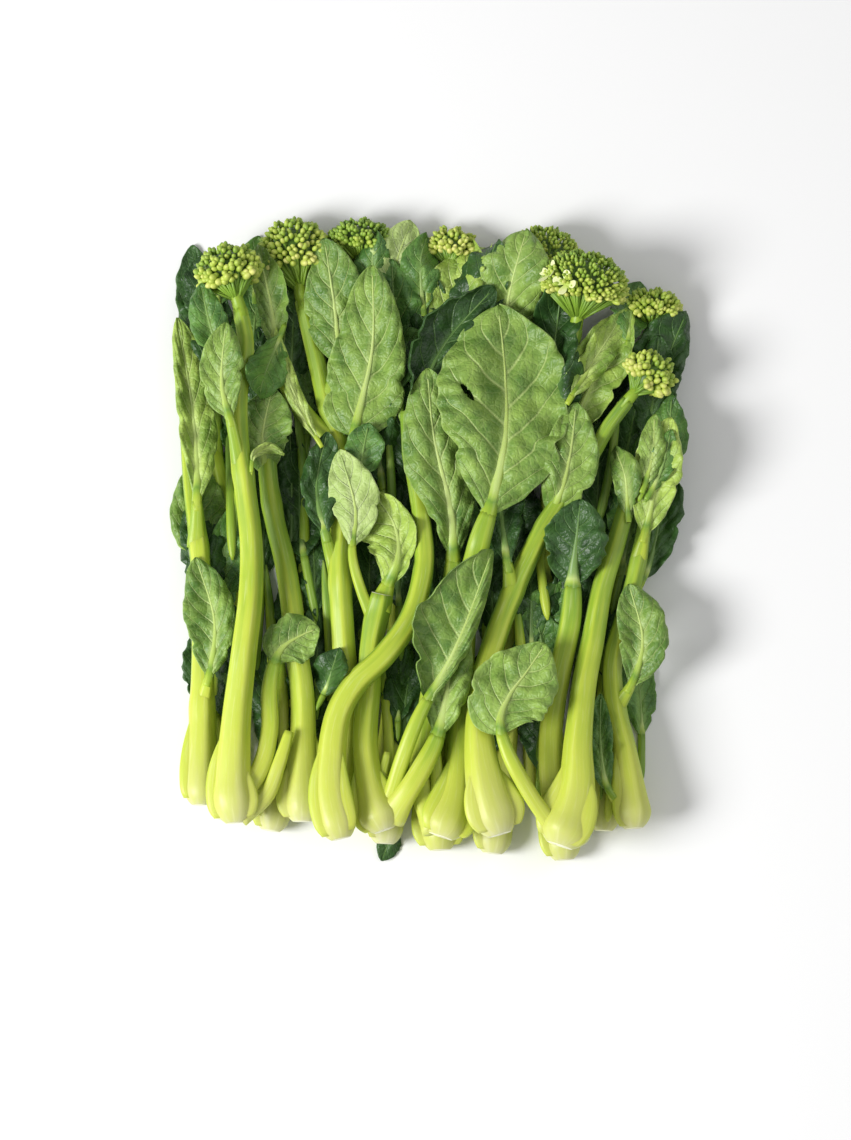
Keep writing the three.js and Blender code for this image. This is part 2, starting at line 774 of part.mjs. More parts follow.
// Lays a stem and its head down together, and returns both
const HEAD_ROUNDS = 8;
function layStem(plant, owner) {
  const stem = stemStations(plant.stem);
  if (!plant.head) {
    const height = settle(stem, { sag: STEM_SAG, plant: owner });
    return { stations: stem, height, solid: clearTube(stem, height, STEM_SIDES, owner) };
  }
  const crown = headStations(stem, plant.head);
  const all = [...stem, ...crown];
  const atLeast = all.map(() => 0);
  const tipShare = HEAD_STATIONS[HEAD_STATIONS.length - 1];
  for (let round = 0; ; round++) {
    const height = settle(all, { sag: STEM_SAG, plant: owner, atLeast });
    const end = stem[stem.length - 1];
    const base = new THREE.Vector3(end.x, end.y, height[stem.length - 1]);
    const rise = (height[all.length - 1] - base.z) / tipShare;
    const tip = new THREE.Vector3(...plant.head.tip, base.z + rise);
    const frame = headFrame(base, tip, plant.head);
    const head = headSolid(frame);
    const short = Math.max(...shortfall(head, owner));
    if (short < CLOSE_ENOUGH || round === HEAD_ROUNDS) {
      const shaft = height.slice(0, stem.length);
      return { stations: stem, height: shaft, solid: clearTube(stem, shaft, STEM_SIDES, owner), head };
    }
    for (let i = stem.length - 1; i < all.length; i++) atLeast[i] = height[i] + short;
  }
}

// The height of a laid stem's middle beside a plan point
function heightOnStem(laid, [x, y]) {
  const distance = (station) => Math.hypot(station.x - x, station.y - y);
  let nearest = 0;
  laid.stations.forEach((station, i) => {
    if (distance(station) < distance(laid.stations[nearest])) nearest = i;
  });
  const beside = [nearest - 1, nearest + 1].filter((i) => laid.stations[i]);
  const other = beside.reduce((a, b) => (distance(laid.stations[a]) < distance(laid.stations[b]) ? a : b));
  const [near, far] = [distance(laid.stations[nearest]), distance(laid.stations[other])];
  return (laid.height[nearest] * far + laid.height[other] * near) / (near + far);
}

// A shoot's sections, from its root in the stem to its thinner end
function layShoot(shoot, laid, owner) {
  const curve = planCurve(shoot.route);
  const length = curve.getLength();
  const steps = Math.max(3, Math.round(length / STALK_STEP));
  const stations = Array.from({ length: steps + 1 }, (_, i) => {
    const width = THREE.MathUtils.lerp(shoot.width[0], shoot.width[1], i / steps);
    return { ...stationAt(curve, (i / steps) * length), width, depth: width * STALK_FLATNESS };
  });
  const start = heightOnStem(laid, shoot.route[0]);
  const height = settle(stations, { sag: STALK_SAG, plant: owner, start });
  return clearTube(stations, height, STALK_SIDES, owner);
}

// The blade's outline: its reach from the midrib at a share of its length, for one side
const WIDEST = 0.5;
const FULLNESS = 0.62; // under 1 the blade is fuller than a sine
const SCALLOP = 0.05;
const ROOT_REACH = 0.42; // of the stalk's width, where the blade begins
const TIP_REACH = 0.9;
function bladeReach(leaf, side, share, row) {
  const bend = Math.log(0.5) / Math.log(leaf.widest ?? WIDEST);
  const full = leaf.reach[side] * Math.sin(Math.PI * share ** bend) ** FULLNESS;
  const scallop = 1 + (row % 2 ? SCALLOP : -SCALLOP);
  const least = THREE.MathUtils.lerp(leaf.stalk * ROOT_REACH, TIP_REACH, Math.sqrt(share));
  return Math.max(full * scallop, least);
}

// A blade as rows of points across its midrib, with the same faces above and below
const WAVES = 2.3; // along one margin
const WAVE_HEIGHT = 0.1; // of the reach
const LARGE_BLADE = 40; // blades longer than this get more faces
const LEAST_GRID = { across: [-1, -0.5, 0, 0.5, 1], rows: 5 };
const SMALL_GRID = { across: [-1, -0.5, 0, 0.5, 1], rows: 6 };
const LARGE_GRID = { across: [-1, -0.66, -0.33, 0, 0.33, 0.66, 1], rows: 8 };
const CREASE = 0.5; // how much lower than its neighbours' mean a point may lie
const RIGHT_MARGIN_PHASE = 1.7; // keeps the two margins' waves out of step
const LIFT_END = 1.15; // over 1 a lifted margin is still a little up at the tip
const CUPPING = 1.5; // over 1 the blade bends up mostly near its margin

function bladeGrid(leaf, curve, start) {
  const ownGrid = leaf.length > LARGE_BLADE ? LARGE_GRID : SMALL_GRID;
  const grid = leaf.small ? LEAST_GRID : ownGrid;
  const points = [];
  for (let row = 0; row <= grid.rows; row++) {
    const share = row / grid.rows;
    const station = stationAt(curve, start + share * (curve.getLength() - start));
    for (const across of grid.across) {
      const side = across < 0 ? 1 : 0;
      const reach = bladeReach(leaf, side, share, row);
      const out = across * reach;
      const leafward = Math.abs(across);
      const turn = 2 * Math.PI * WAVES * share + side * RIGHT_MARGIN_PHASE + leaf.phase;
      const wave = Math.sin(turn) * WAVE_HEIGHT * reach;
      const lifted = Math.sin(Math.PI * Math.min(share * LIFT_END, 1));
      const lift = leaf.lift[side] * lifted * leafward ** CUPPING;
      points.push({
        x: station.x + station.left[0] * out,
        y: station.y + station.left[1] * out,
        relief: lift + wave * leafward ** 2,
        rib: ribDepth(leaf, share, Math.abs(out)),
        row,
      });
    }
  }
  return { points, columns: grid.across.length, rows: grid.rows };
}

// The midrib's extra depth at a share of the blade's length and a distance from its middle
const RIB_TAPER = 1.5;
const RIB_TIP_WIDTH = 1.4;
function ribDepth(leaf, share, distance) {
  const depth = (leaf.stalk * STALK_FLATNESS - BLADE_THICKNESS) * (1 - share) ** RIB_TAPER;
  const halfWidth = THREE.MathUtils.lerp(leaf.stalk, RIB_TIP_WIDTH, Math.sqrt(share)) / 2;
  return depth * Math.max(0, 1 - (distance / halfWidth) ** 2);
}

// The closed solid of a blade at the given heights of its points
const STEEPEST = 2; // slope up to which a blade's upright thickness grows
const LEAST_GAP = 0.5; // keeps the slope between two crowded points sane
function bladeSolid(grid, height) {
  const { points, columns, rows } = grid;
  const count = points.length;
  const planGap = (a, b) => Math.hypot(points[a].x - points[b].x, points[a].y - points[b].y);
  const slopeBetween = (a, b) => Math.abs(height[a] - height[b]) / Math.max(planGap(a, b), LEAST_GAP);
  const thickness = points.map((point, i) => {
    if (point.row === 0) return BLADE_THICKNESS;
    const column = i % columns;
    const across = slopeBetween(i - (column > 0 ? 1 : 0), i + (column < columns - 1 ? 1 : 0));
    const along = slopeBetween(i - (point.row > 0 ? columns : 0), i + (point.row < rows ? columns : 0));
    return BLADE_THICKNESS * Math.hypot(1, Math.min(across, STEEPEST), Math.min(along, STEEPEST));
  });
  const top = points.map((point, i) => [point.x, point.y, height[i] + (thickness[i] + point.rib) / 2]);
  const under = points.map((point, i) => [point.x, point.y, height[i] - (thickness[i] + point.rib) / 2]);
  const faces = [];
  for (let row = 0; row < rows; row++)
    for (let column = 0; column + 1 < columns; column++) {
      const a = row * columns + column;
      const [b, c, d] = [a + 1, a + columns + 1, a + columns];
      const halves = column < (columns - 1) / 2 ? [[a, b, c], [a, c, d]] : [[a, b, d], [b, c, d]];
      for (const [i, j, k] of halves) {
        faces.push([i, k, j]);
        faces.push([i + count, j + count, k + count]);
      }
    }
  const rim = [];
  for (let column = 0; column < columns; column++) rim.push(column);
  for (let row = 1; row <= rows; row++) rim.push(row * columns + columns - 1);
  for (let column = columns - 2; column >= 0; column--) rim.push(rows * columns + column);
  for (let row = rows - 1; row > 0; row--) rim.push(row * columns);
  rim.forEach((a, i) => {
    const b = rim[(i + 1) % rim.length];
    faces.push([a, b, b + count], [a, b + count, a + count]);
  });
  return { points: [...top, ...under], faces };
}

// Lets a blade down: its midrib at the settled heights, the rest draped over the pile
const DRAPING_ROUNDS = 30;
function drapeBlade(grid, ribHeights) {
  const { points, columns } = grid;
  const count = points.length;
  const height = points.map((point) => ribHeights[point.row] + point.relief);
  for (let round = 0; round < DRAPING_ROUNDS; round++) {
    const missing = shortfall(bladeSolid(grid, height));
    let worst = 0;
    for (let i = columns; i < count; i++) {
      const short = Math.max(missing[i], missing[i + count]);
      worst = Math.max(worst, short);
      height[i] += short;
    }
    if (worst < CLOSE_ENOUGH) break;
    for (let i = columns; i < count; i++) {
      const column = i % columns;
      if (column === 0 || column === columns - 1) continue;
      const beside = (height[i - 1] - points[i - 1].relief + height[i + 1] - points[i + 1].relief) / 2;
      height[i] = Math.max(height[i], beside + points[i].relief - CREASE);
    }
  }
  return bladeSolid(grid, height);
}

// Lays a leaf down: its stalk, which is part of the stem's solid, and its blade
const BLADE_STIFFNESS = 0.55; // share of the blade's width that its midrib carries level
const SMALL_LEAF_ROOT = 1.5; // how far a small leaf's stalk runs into its blade
const STALK_FOOT = 1.15; // a stalk's width at its root over its width at the blade
function layLeaf(leaf, laid, owner) {
  const curve = planCurve(leaf.route);
  const length = curve.getLength();
  const stalkEnd = length - leaf.length + (leaf.small ? SMALL_LEAF_ROOT : -JOINT_GAP);
  const stalkSteps = Math.max(2, Math.round(stalkEnd / STALK_STEP));
  const stations = [];
  for (let i = 0; i <= stalkSteps; i++) {
    const width = leaf.stalk * THREE.MathUtils.lerp(STALK_FOOT, 1, i / stalkSteps);
    const station = stationAt(curve, (i / stalkSteps) * stalkEnd);
    stations.push({ ...station, width, depth: width * STALK_FLATNESS });
  }
  const stalkCount = stations.length;
  stations[stalkCount - 1].free = true;
  const grid = bladeGrid(leaf, curve, length - leaf.length);
  for (let row = 1; row <= grid.rows; row++) {
    const share = row / grid.rows;
    const [left, right] = [0, 1].map((side) => bladeReach(leaf, side, share, row));
    stations.push({
      ...stationAt(curve, length - leaf.length * (1 - share)),
      width: 2 * Math.min(left, right) * BLADE_STIFFNESS,
      depth: BLADE_THICKNESS + ribDepth(leaf, share, 0),
      flat: true,
      free: true,
    });
  }
  const start = heightOnStem(laid, leaf.route[0]);
  const height = settle(stations, { sag: STALK_SAG, plant: owner, start });
  const stalkStations = stations.slice(0, stalkCount);
  const stalkHeight = height.slice(0, stalkCount);
  const stalk = clearTube(stalkStations, stalkHeight, STALK_SIDES, owner);
  const ribHeights = [stalkHeight[stalkCount - 1], ...height.slice(stalkCount)];
  const blade = drapeBlade(grid, ribHeights);
  heapUp(stalk, owner);
  heapUp(blade, BLADE);
  return { stalk, blade };
}

function asManifold({ points, faces }) {
  return new wasm.Manifold(
    new wasm.Mesh({
      numProp: 3,
      vertProperties: new Float32Array(points.flat()),
      triVerts: new Uint32Array(faces.flat()),
    }),
  );
}

// Joins solids that grow out of each other into one
function grownTogether(solids) {
  const whole = solids.map(asManifold).reduce((grown, next) => grown.add(next));
  const mesh = whole.getMesh();
  return new THREE.BufferGeometry()
    .setAttribute("position", new THREE.BufferAttribute(new Float32Array(mesh.vertProperties), 3))
    .setIndex(new THREE.BufferAttribute(new Uint32Array(mesh.triVerts), 1));
}

function node(name, solids, finish) {
  const geometry = grownTogether(solids);
  geometry.computeVertexNormals();
  const mesh = new THREE.Mesh(geometry, FINISH[finish]);
  mesh.name = name;
  return mesh;
}

// Lays the whole bunch down in the order of the turns, stems before the leaves of the same turn
const PHASE = { plant: 1.3, leaf: 2.1 }; // keeps the margins' waves of different leaves out of step
function layBunch() {
  const jobs = [];
  plants.forEach((plant, owner) => {
    const grown = { plant, owner, stemPieces: [], blades: [] };
    jobs.push({ turn: plant.turn, grown });
    const small = (plant.smallLeaves ?? []).map((leaf) => ({ ...leaf, small: true }));
    [...plant.leaves, ...small].forEach((leaf, i) => {
      const phase = owner * PHASE.plant + i * PHASE.leaf;
      const named = { ...leaf, name: `${plant.name}_leaf_${i + 1}`, phase };
      jobs.push({ turn: (leaf.turn ?? plant.turn) + 0.5, grown, leaf: named });
    });
  });
  jobs.sort((a, b) => a.turn - b.turn);
  for (const { grown, leaf } of jobs) {
    const { plant, owner } = grown;
    if (leaf) {
      const { stalk, blade } = layLeaf(leaf, grown.laid, owner);
      grown.stemPieces.push(stalk);
      if (leaf.small) grown.stemPieces.push(blade);
      else grown.blades.push({ name: leaf.name, blade, finish: leaf.finish });
      continue;
    }
    grown.laid = layStem(plant, owner);
    grown.stemPieces.push(grown.laid.solid);
    heapUp(grown.laid.solid, owner);
    if (grown.laid.head) heapUp(grown.laid.head, BLADE);
    for (const shoot of plant.shoots ?? []) {
      const solid = layShoot(shoot, grown.laid, owner);
      grown.stemPieces.push(solid);
      heapUp(solid, owner);
    }
  }
  return [...new Set(jobs.map((job) => job.grown))];
}

const bunch = new THREE.Group();
for (const { plant, laid, stemPieces, blades } of layBunch()) {
  bunch.add(node(`${plant.name}_stem`, stemPieces, "stem"));
  if (laid.head) bunch.add(node(`${plant.name}_buds`, [laid.head], "buds"));
  for (const { name, blade, finish } of blades) bunch.add(node(name, [blade], finish));
}

// The origin goes under the middle of the bunch
const box = new THREE.Box3().setFromObject(bunch);
const middle = box.getCenter(new THREE.Vector3());
bunch.position.set(-middle.x, -middle.y, -box.min.z);

export default bunch;
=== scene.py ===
"""Baby choy sum bunch: seventeen finished plants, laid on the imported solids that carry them.

Metres, +Z up, butts towards -Y and flower buds towards +Y. The plants' routes are given in plan and in
millimetres, as the solids follow them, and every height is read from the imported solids.
"""
from __future__ import annotations

import logging
import math
import random
from dataclasses import dataclass
from enum import Enum
from typing import Callable, Mapping, Sequence

import bmesh
import bpy
import numpy as np
from mathutils import Matrix, Vector, noise
from mathutils.bvhtree import BVHTree


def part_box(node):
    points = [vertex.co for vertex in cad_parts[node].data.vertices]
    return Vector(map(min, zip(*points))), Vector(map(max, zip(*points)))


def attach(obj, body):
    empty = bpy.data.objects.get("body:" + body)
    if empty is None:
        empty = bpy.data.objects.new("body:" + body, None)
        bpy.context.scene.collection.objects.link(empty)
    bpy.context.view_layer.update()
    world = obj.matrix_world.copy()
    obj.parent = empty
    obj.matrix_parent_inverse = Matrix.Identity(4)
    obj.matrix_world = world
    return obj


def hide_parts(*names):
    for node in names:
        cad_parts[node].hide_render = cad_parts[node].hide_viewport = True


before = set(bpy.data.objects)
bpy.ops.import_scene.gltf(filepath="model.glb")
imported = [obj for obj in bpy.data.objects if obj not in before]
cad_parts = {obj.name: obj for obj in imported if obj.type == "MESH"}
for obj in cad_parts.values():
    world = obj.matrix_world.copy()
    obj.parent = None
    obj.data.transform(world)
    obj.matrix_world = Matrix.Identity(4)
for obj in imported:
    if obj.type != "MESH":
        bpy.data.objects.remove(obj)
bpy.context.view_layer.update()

LOG = logging.getLogger("choy_sum")
MM = 0.001
ROOT = "root"  # a part with no joints has this one body
MIDDLE_SHIFT = (-1.3476, -2.0578)  # from the plan's origin to the part's, in millimetres
UP = Vector((0, 0, 1))

Point = tuple[float, float]
Points = tuple[Point, ...]
Array = np.ndarray


class Look(Enum):
    """The kinds of leaf, by the colour of the face that shows."""

    FRESH = "fresh"
    LIGHT = "light"
    DARK = "dark"
    # a dark leaf's colour is partly painted shade, for leaves deep in the bunch
    SMALL = "small"


class Face(Enum):
    """Which face of a leaf is up."""

    UPPER = "upper"
    UNDER = "under"


@dataclass(frozen=True)
class LeafPlan:
    """A leaf in plan: its route from the root along the stalk and midrib to the tip, and its sizes."""

    route: Points
    stalk: float
    length: float
    reach: tuple[float, float]
    look: Look
    widest: float = 0.5
    face: Face = Face.UPPER
    rolls: tuple[float, float] = (0.0, 0.0)
    tear: tuple[float, float] | None = None


@dataclass(frozen=True)
class ShootPlan:
    """A stalk with no blade: its route, and its width at the root and at the end."""

    route: Points
    width: tuple[float, float]


@dataclass(frozen=True)
class HeadPlan:
    """A head of flower buds: the plan point of its crown, and its width."""

    tip: Point
    width: float


@dataclass(frozen=True)
class PlantPlan:
    """A plant in plan: its stem from butt to top, with its width at the butt, the waist and the top."""

    name: str
    route: Points
    width: tuple[float, float, float]
    head: HeadPlan | None = None
    shoots: tuple[ShootPlan, ...] = ()
    leaves: tuple[LeafPlan, ...] = ()
    small_leaves: tuple[LeafPlan, ...] = ()


PLANTS: tuple[PlantPlan, ...] = (
    PlantPlan(
        "back_1",
        ((-63, -84), (-62, -68), (-59, -46), (-58, -25), (-60, -2), (-66, 27), (-71, 47), (-73, 65)),
        (11, 7.5, 4),
        leaves=(
            LeafPlan(((-66, 27), (-66, 43), (-68, 65), (-74, 96)), 3.4, 48, (8.5, 8), Look.DARK),
            LeafPlan(((-60, -20), (-66, -8), (-71, 6), (-72, 26)), 3.4, 36, (8, 9), Look.FRESH),
        ),
        small_leaves=(
            LeafPlan(((-58, -38), (-62, -26), (-63, -8), (-60, 12)), 3, 36, (5, 6), Look.SMALL),
        ),
    ),
    PlantPlan(
        "back_2",
        (
            (-48, -89), (-45, -71), (-41, -49), (-37, -31), (-38, -15), (-41, 9), (-45, 28),
            (-47, 43), (-50, 62),
        ),
        (12, 7.5, 4),
        leaves=(
            LeafPlan(
                ((-45, 24), (-49, 36), (-51, 46), (-48, 68)), 3.2, 30, (10, 6), Look.DARK, widest=0.36
            ),
            LeafPlan(((-38, -32), (-34, -24), (-30, -12), (-29, 4)), 3.4, 28, (8, 8), Look.DARK),
        ),
        small_leaves=(
            LeafPlan(((-38, -16), (-32, -6), (-26, 8), (-20, 30)), 3, 40, (7, 7), Look.SMALL),
            LeafPlan(((-41, -54), (-36, -52), (-32, -46), (-28, -36)), 3, 16, (5, 5), Look.SMALL),
        ),
    ),
    PlantPlan(
        "back_3",
        (
            (-13, -93), (-12, -74), (-10, -49), (-9, -25), (-10, 0), (-13, 25), (-14, 49),
            (-18, 74), (-21, 87),
        ),
        (12, 8, 4.5),
        head=HeadPlan((-21, 102), 19),
        leaves=(
            LeafPlan(((-12, 12), (-15, 28), (-15, 45), (-12, 67)), 3.6, 40, (12, 10), Look.DARK),
            LeafPlan(
                ((-17, 69), (-14, 74), (-12, 81), (-5, 102)), 4.2, 28, (8.5, 8), Look.LIGHT, face=Face.UNDER
            ),
        ),
    ),
    PlantPlan(
        "back_4",
        ((4, -95), (3, -77), (2, -55), (1, -31), (0, -6), (1, 22), (1, 43), (4, 68), (7, 86)),
        (13, 8, 4.5),
        head=HeadPlan((8, 100), 14),
        leaves=(
            LeafPlan(((1, 4), (-3, 18), (-4, 34), (-1, 52)), 3.6, 36, (9, 10), Look.DARK),
            LeafPlan(((2, 57), (3, 64), (6, 73), (15, 88)), 3.8, 26, (11, 10), Look.LIGHT, widest=0.4),
        ),
    ),
    PlantPlan(
        "back_5",
        ((20, -96), (22, -77), (25, -49), (26, -25), (27, 0), (27, 28), (29, 55), (34, 77)),
        (12, 8, 4.5),
        head=HeadPlan((38, 99), 22),
        leaves=(
            LeafPlan(((28, 44), (24, 57), (25, 74), (31, 97)), 3.8, 36, (11, 11), Look.FRESH),
        ),
        small_leaves=(
            LeafPlan(((26, -30), (20, -18), (14, 0), (12, 26)), 3, 44, (8, 8), Look.SMALL),
            LeafPlan(((27, 24), (20, 36), (14, 50), (17, 76)), 3, 40, (9, 8), Look.SMALL),
        ),
    ),
    PlantPlan(
        "back_6",
        ((42, -98), (40, -76), (37, -49), (37, -25), (37, 0), (39, 25), (42, 49), (46, 66)),
        (12, 8, 5),
        head=HeadPlan((50, 88), 25),
        leaves=(
            LeafPlan(((37, -24), (44, -10), (50, 4), (53, 28)), 4, 46, (11, 10), Look.DARK),
            LeafPlan(((39, 22), (44, 34), (52, 51), (63, 73)), 4, 46, (9, 11), Look.LIGHT, rolls=(0, 4)),
        ),
        small_leaves=(
            LeafPlan(((37, -50), (34, -40), (35, -28), (43, -12)), 3, 30, (8, 8), Look.SMALL),
        ),
    ),
    PlantPlan(
        "back_7",
        ((54, -89), (55, -68), (58, -43), (61, -18), (64, 6), (67, 31), (69, 52), (70, 66)),
        (11, 7.5, 4.5),
        head=HeadPlan((70, 80), 17),
        leaves=(
            LeafPlan(((61, -20), (68, -8), (72, 8), (74, 28)), 3.4, 40, (8, 7), Look.DARK),
            LeafPlan(((67, 30), (72, 42), (74, 55), (81, 73)), 3.4, 38, (11, 6), Look.DARK),
        ),
    ),
    PlantPlan(
        "middle",
        (
            (-30, -85), (-26, -65), (-25, -46), (-26, -28), (-27, -6), (-26, 12), (-27, 28),
            (-31, 43), (-35, 60), (-39, 77),
        ),
        (11, 8, 5.5),
        head=HeadPlan((-43, 102), 21),
        leaves=(
            LeafPlan(
                ((-29, 31), (-36, 38), (-43, 48), (-47, 63), (-49, 76), (-53, 93)),
                5, 34, (4.5, 7), Look.FRESH, rolls=(0, 3),
            ),
            LeafPlan(((-31, 44), (-28, 54), (-28, 66), (-32, 95)), 4, 39, (9, 10), Look.FRESH, widest=0.45),
            LeafPlan(
                ((-27, 14), (-24, 24), (-22, 36), (-17, 60), (-17, 86)),
                4.4, 54, (13, 12.5), Look.FRESH, widest=0.34,
            ),
            LeafPlan(((-27, -14), (-31, 0), (-34, 16), (-31, 34)), 3.8, 33, (5, 8), Look.DARK),
        ),
        small_leaves=(
            LeafPlan(((-27, 6), (-24, 14), (-21, 22), (-18, 36)), 3, 18, (6, 6.5), Look.SMALL),
        ),
    ),
    PlantPlan(
        "front_1",
        ((-69, -82), (-69, -71), (-69, -49), (-69, -31), (-70, -6), (-73, 18), (-75, 40), (-76, 55)),
        (11, 8, 4),
        leaves=(
            LeafPlan(((-71, -2), (-71, 22), (-73, 43), (-78, 71)), 4, 60, (5, 7.5), Look.LIGHT),
            LeafPlan(((-69, -52), (-66, -40), (-65, -26), (-71, -6)), 3.4, 38, (9, 7), Look.FRESH),
        ),
    ),
    PlantPlan(
        "front_3",
        (
            (-38, -87), (-38, -74), (-38, -49), (-40, -34), (-42, -18), (-44, -6), (-47, 6),
            (-49, 18), (-50, 31),
        ),
        (12.5, 8, 6),
        leaves=(
            LeafPlan(((-48, 12), (-50, 22), (-51, 32), (-48, 48)), 4.2, 27, (8, 9), Look.FRESH),
        ),
    ),
    PlantPlan(
        "front_2",
        (
            (-58, -88), (-59, -77), (-58, -55), (-56, -37), (-54, -18), (-54, -2), (-56, 15),
            (-58, 31), (-58, 46), (-56, 60), (-58, 72),
        ),
        (12.5, 9, 5),
        head=HeadPlan((-64, 91), 19),
        shoots=(ShootPlan(((-57, -86), (-49, -80), (-45, -70), (-42, -60)), (5.5, 3.5)),),
        leaves=(
            LeafPlan(
                ((-57, -80), (-51, -72), (-48, -60), (-48, -46), (-45, -35), (-38, -30), (-33, -28)),
                5, 18, (8, 8), Look.FRESH,
            ),
            LeafPlan(((-57, 20), (-60, 34), (-63, 46), (-62, 66)), 3.6, 30, (6.5, 7), Look.FRESH),
        ),
        small_leaves=(
            LeafPlan(((-57, 50), (-61, 55), (-66, 63), (-70, 79)), 3, 26, (6, 5.5), Look.SMALL),
        ),
    ),
    PlantPlan(
        "front_5",
        ((-13, -90), (-17, -78), (-19, -63), (-18, -46), (-17, -31), (-14, -17)),
        (13, 8.5, 7),
        shoots=(ShootPlan(((-12, -84), (-14, -76), (-12, -66)), (5, 3)),),
        leaves=(
            LeafPlan(
                ((-15, -22), (-12, -14), (-9, -6), (-10, 4), (-17, 15)),
                5.5, 32, (12, 6), Look.LIGHT, rolls=(3, 0),
            ),
            LeafPlan(
                ((-16, -26), (-20, -17), (-23, -5), (-22, 8), (-27, 27)),
                3, 30, (7, 7.5), Look.LIGHT, face=Face.UNDER,
            ),
            LeafPlan(((-11, -86), (-3, -74), (3, -62), (6, -49), (9, -24)), 6, 38, (8, 7), Look.FRESH),
            LeafPlan(
                ((-12, -84), (-8, -70), (-2, -55), (8, -37), (20, -5)),
                4.4, 50, (18, 4), Look.FRESH, widest=0.46, rolls=(4.5, 0),
            ),
        ),
    ),
    PlantPlan(
        "front_4",
        (
            (-26, -93), (-29, -80), (-29, -68), (-27, -55), (-22, -46), (-13, -37), (-5, -25),
            (-1, -9), (-2, 9), (-5, 28), (-6, 40),
        ),
        (12.5, 8.5, 5),
        leaves=(
            LeafPlan(((-5, 26), (-2, 42), (5, 60), (21, 79)), 3.8, 48, (12, 9), Look.DARK, rolls=(5, 0)),
        ),
    ),
    PlantPlan(
        "front_9",
        ((63, -89), (62, -77), (60, -63), (57, -49), (57, -36), (61, -22), (65, -6), (68, 10)),
        (11.5, 7.5, 4.5),
        leaves=(
            LeafPlan(((58, -52), (63, -44), (66, -32), (62, -14)), 3.4, 32, (7.5, 8), Look.FRESH),
            LeafPlan(((65, -6), (68, 6), (71, 20), (75, 37)), 3.4, 36, (8, 7), Look.LIGHT),
        ),
        small_leaves=(
            LeafPlan(((61, -84), (55, -77), (53, -66), (53, -48)), 3, 30, (4.5, 4), Look.SMALL),
        ),
    ),
    PlantPlan(
        "front_6",
        ((4, -92), (8, -80), (10, -63), (11, -46), (12, -28), (14, -9)),
        (15, 7.5, 6.5),
        shoots=(ShootPlan(((4, -86), (3, -74), (2, -60)), (4.5, 3.5)),),
        leaves=(
            LeafPlan(
                ((3, -90), (-2, -77), (-1, -62), (2, -43), (6, -25), (8, -6), (7, 9), (2, 31), (0, 52)),
                6, 59, (10, 10), Look.FRESH, widest=0.55,
            ),
            LeafPlan(
                ((13, -15), (16, -2), (20, 11), (24, 31), (24, 51), (22, 73)),
                6.5, 67, (21, 20), Look.FRESH, widest=0.54, tear=(0.57, 0.57),
            ),
        ),
    ),
    PlantPlan(
        "front_7",
        (
            (22, -92), (18, -78), (16, -63), (17, -46), (21, -31), (27, -15), (34, 0), (41, 12),
            (50, 25), (56, 35), (62, 43),
        ),
        (15, 8.5, 4.5),
        head=HeadPlan((73, 56), 15),
        leaves=(
            LeafPlan(((26, -17), (24, -4), (23, 12), (28, 35)), 3.8, 44, (6.5, 7), Look.DARK),
            LeafPlan(((36, 4), (41, 14), (44, 26), (46, 42)), 4, 35, (8.5, 9), Look.FRESH, widest=0.42),
        ),
    ),
    PlantPlan(
        "front_8",
        (
            (40, -95), (45, -80), (46, -63), (48, -46), (51, -31), (54, -15), (58, -2), (62, 11),
            (67, 22), (71, 32),
        ),
        (16, 9, 4.5),
        leaves=(
            LeafPlan(
                ((41, -90), (38, -77), (38, -58), (41, -40), (44, -25), (45, -9), (47, 11)),
                6.5, 26, (9.5, 9.5), Look.DARK,
            ),
            LeafPlan(
                ((40, -92), (31, -80), (24, -67), (22, -58), (25, -50), (30, -43), (36, -34)),
                4.4, 32, (12, 13), Look.FRESH, widest=0.42,
            ),
        ),
        small_leaves=(
            LeafPlan(((64, 14), (69, 20), (74, 30), (76, 46)), 3, 28, (6, 6), Look.SMALL),
        ),
    ),
)


class Route:
    """A smooth line in plan through given points, the one that the solids follow too."""

    STEPS = 24  # fine steps between two given points
    PEEK = 0.5 * MM  # how far the direction is looked up on either side

    def __init__(self, points: Points) -> None:
        """Works out the fine line.

        Args:
            points: Plan points in millimetres.
        """
        hand_set = (np.array(points, float) + MIDDLE_SHIFT) * MM
        padded = np.vstack([2 * hand_set[0] - hand_set[1], hand_set, 2 * hand_set[-1] - hand_set[-2]])
        stretches = [self._stretch(*padded[i : i + 4]) for i in range(len(padded) - 3)]
        self.line = np.vstack([*stretches, hand_set[-1:]])
        steps = np.hypot(*np.diff(self.line, axis=0).T)
        self.at = np.concatenate([[0], np.cumsum(steps)])
        self.length = float(self.at[-1])

    @classmethod
    def _stretch(cls, before: Array, start: Array, end: Array, after: Array) -> Array:
        """Returns the fine points of one centripetal Catmull-Rom stretch, from start up to end."""
        pairs = ((before, start), (start, end), (end, after))
        first_gap, gap, last_gap = (math.sqrt(np.linalg.norm(b - a)) for a, b in pairs)
        leave = (start - before) / first_gap - (end - before) / (first_gap + gap) + (end - start) / gap
        arrive = (end - start) / gap - (after - start) / (gap + last_gap) + (after - end) / last_gap
        leave, arrive = leave * gap, arrive * gap
        share = np.linspace(0, 1, cls.STEPS, endpoint=False)[:, None]
        square = 3 * (end - start) - 2 * leave - arrive
        cube = 2 * (start - end) + leave + arrive
        return start + leave * share + square * share**2 + cube * share**3

    def place(self, distance: Array) -> Array:
        """Returns the plan points at distances from the start."""
        return np.stack([np.interp(distance, self.at, line) for line in self.line.T], axis=-1)

    def way(self, distance: Array) -> Array:
        """Returns the unit directions at distances from the start."""
        distance = np.asarray(distance)
        ahead = self.place(distance + self.PEEK) - self.place(distance - self.PEEK)
        return ahead / np.linalg.norm(ahead, axis=-1, keepdims=True)

    def left(self, distance: Array) -> Array:
        """Returns the unit directions to the left of the way."""
        way = self.way(distance)
        return np.stack([-way[..., 1], way[..., 0]], axis=-1)


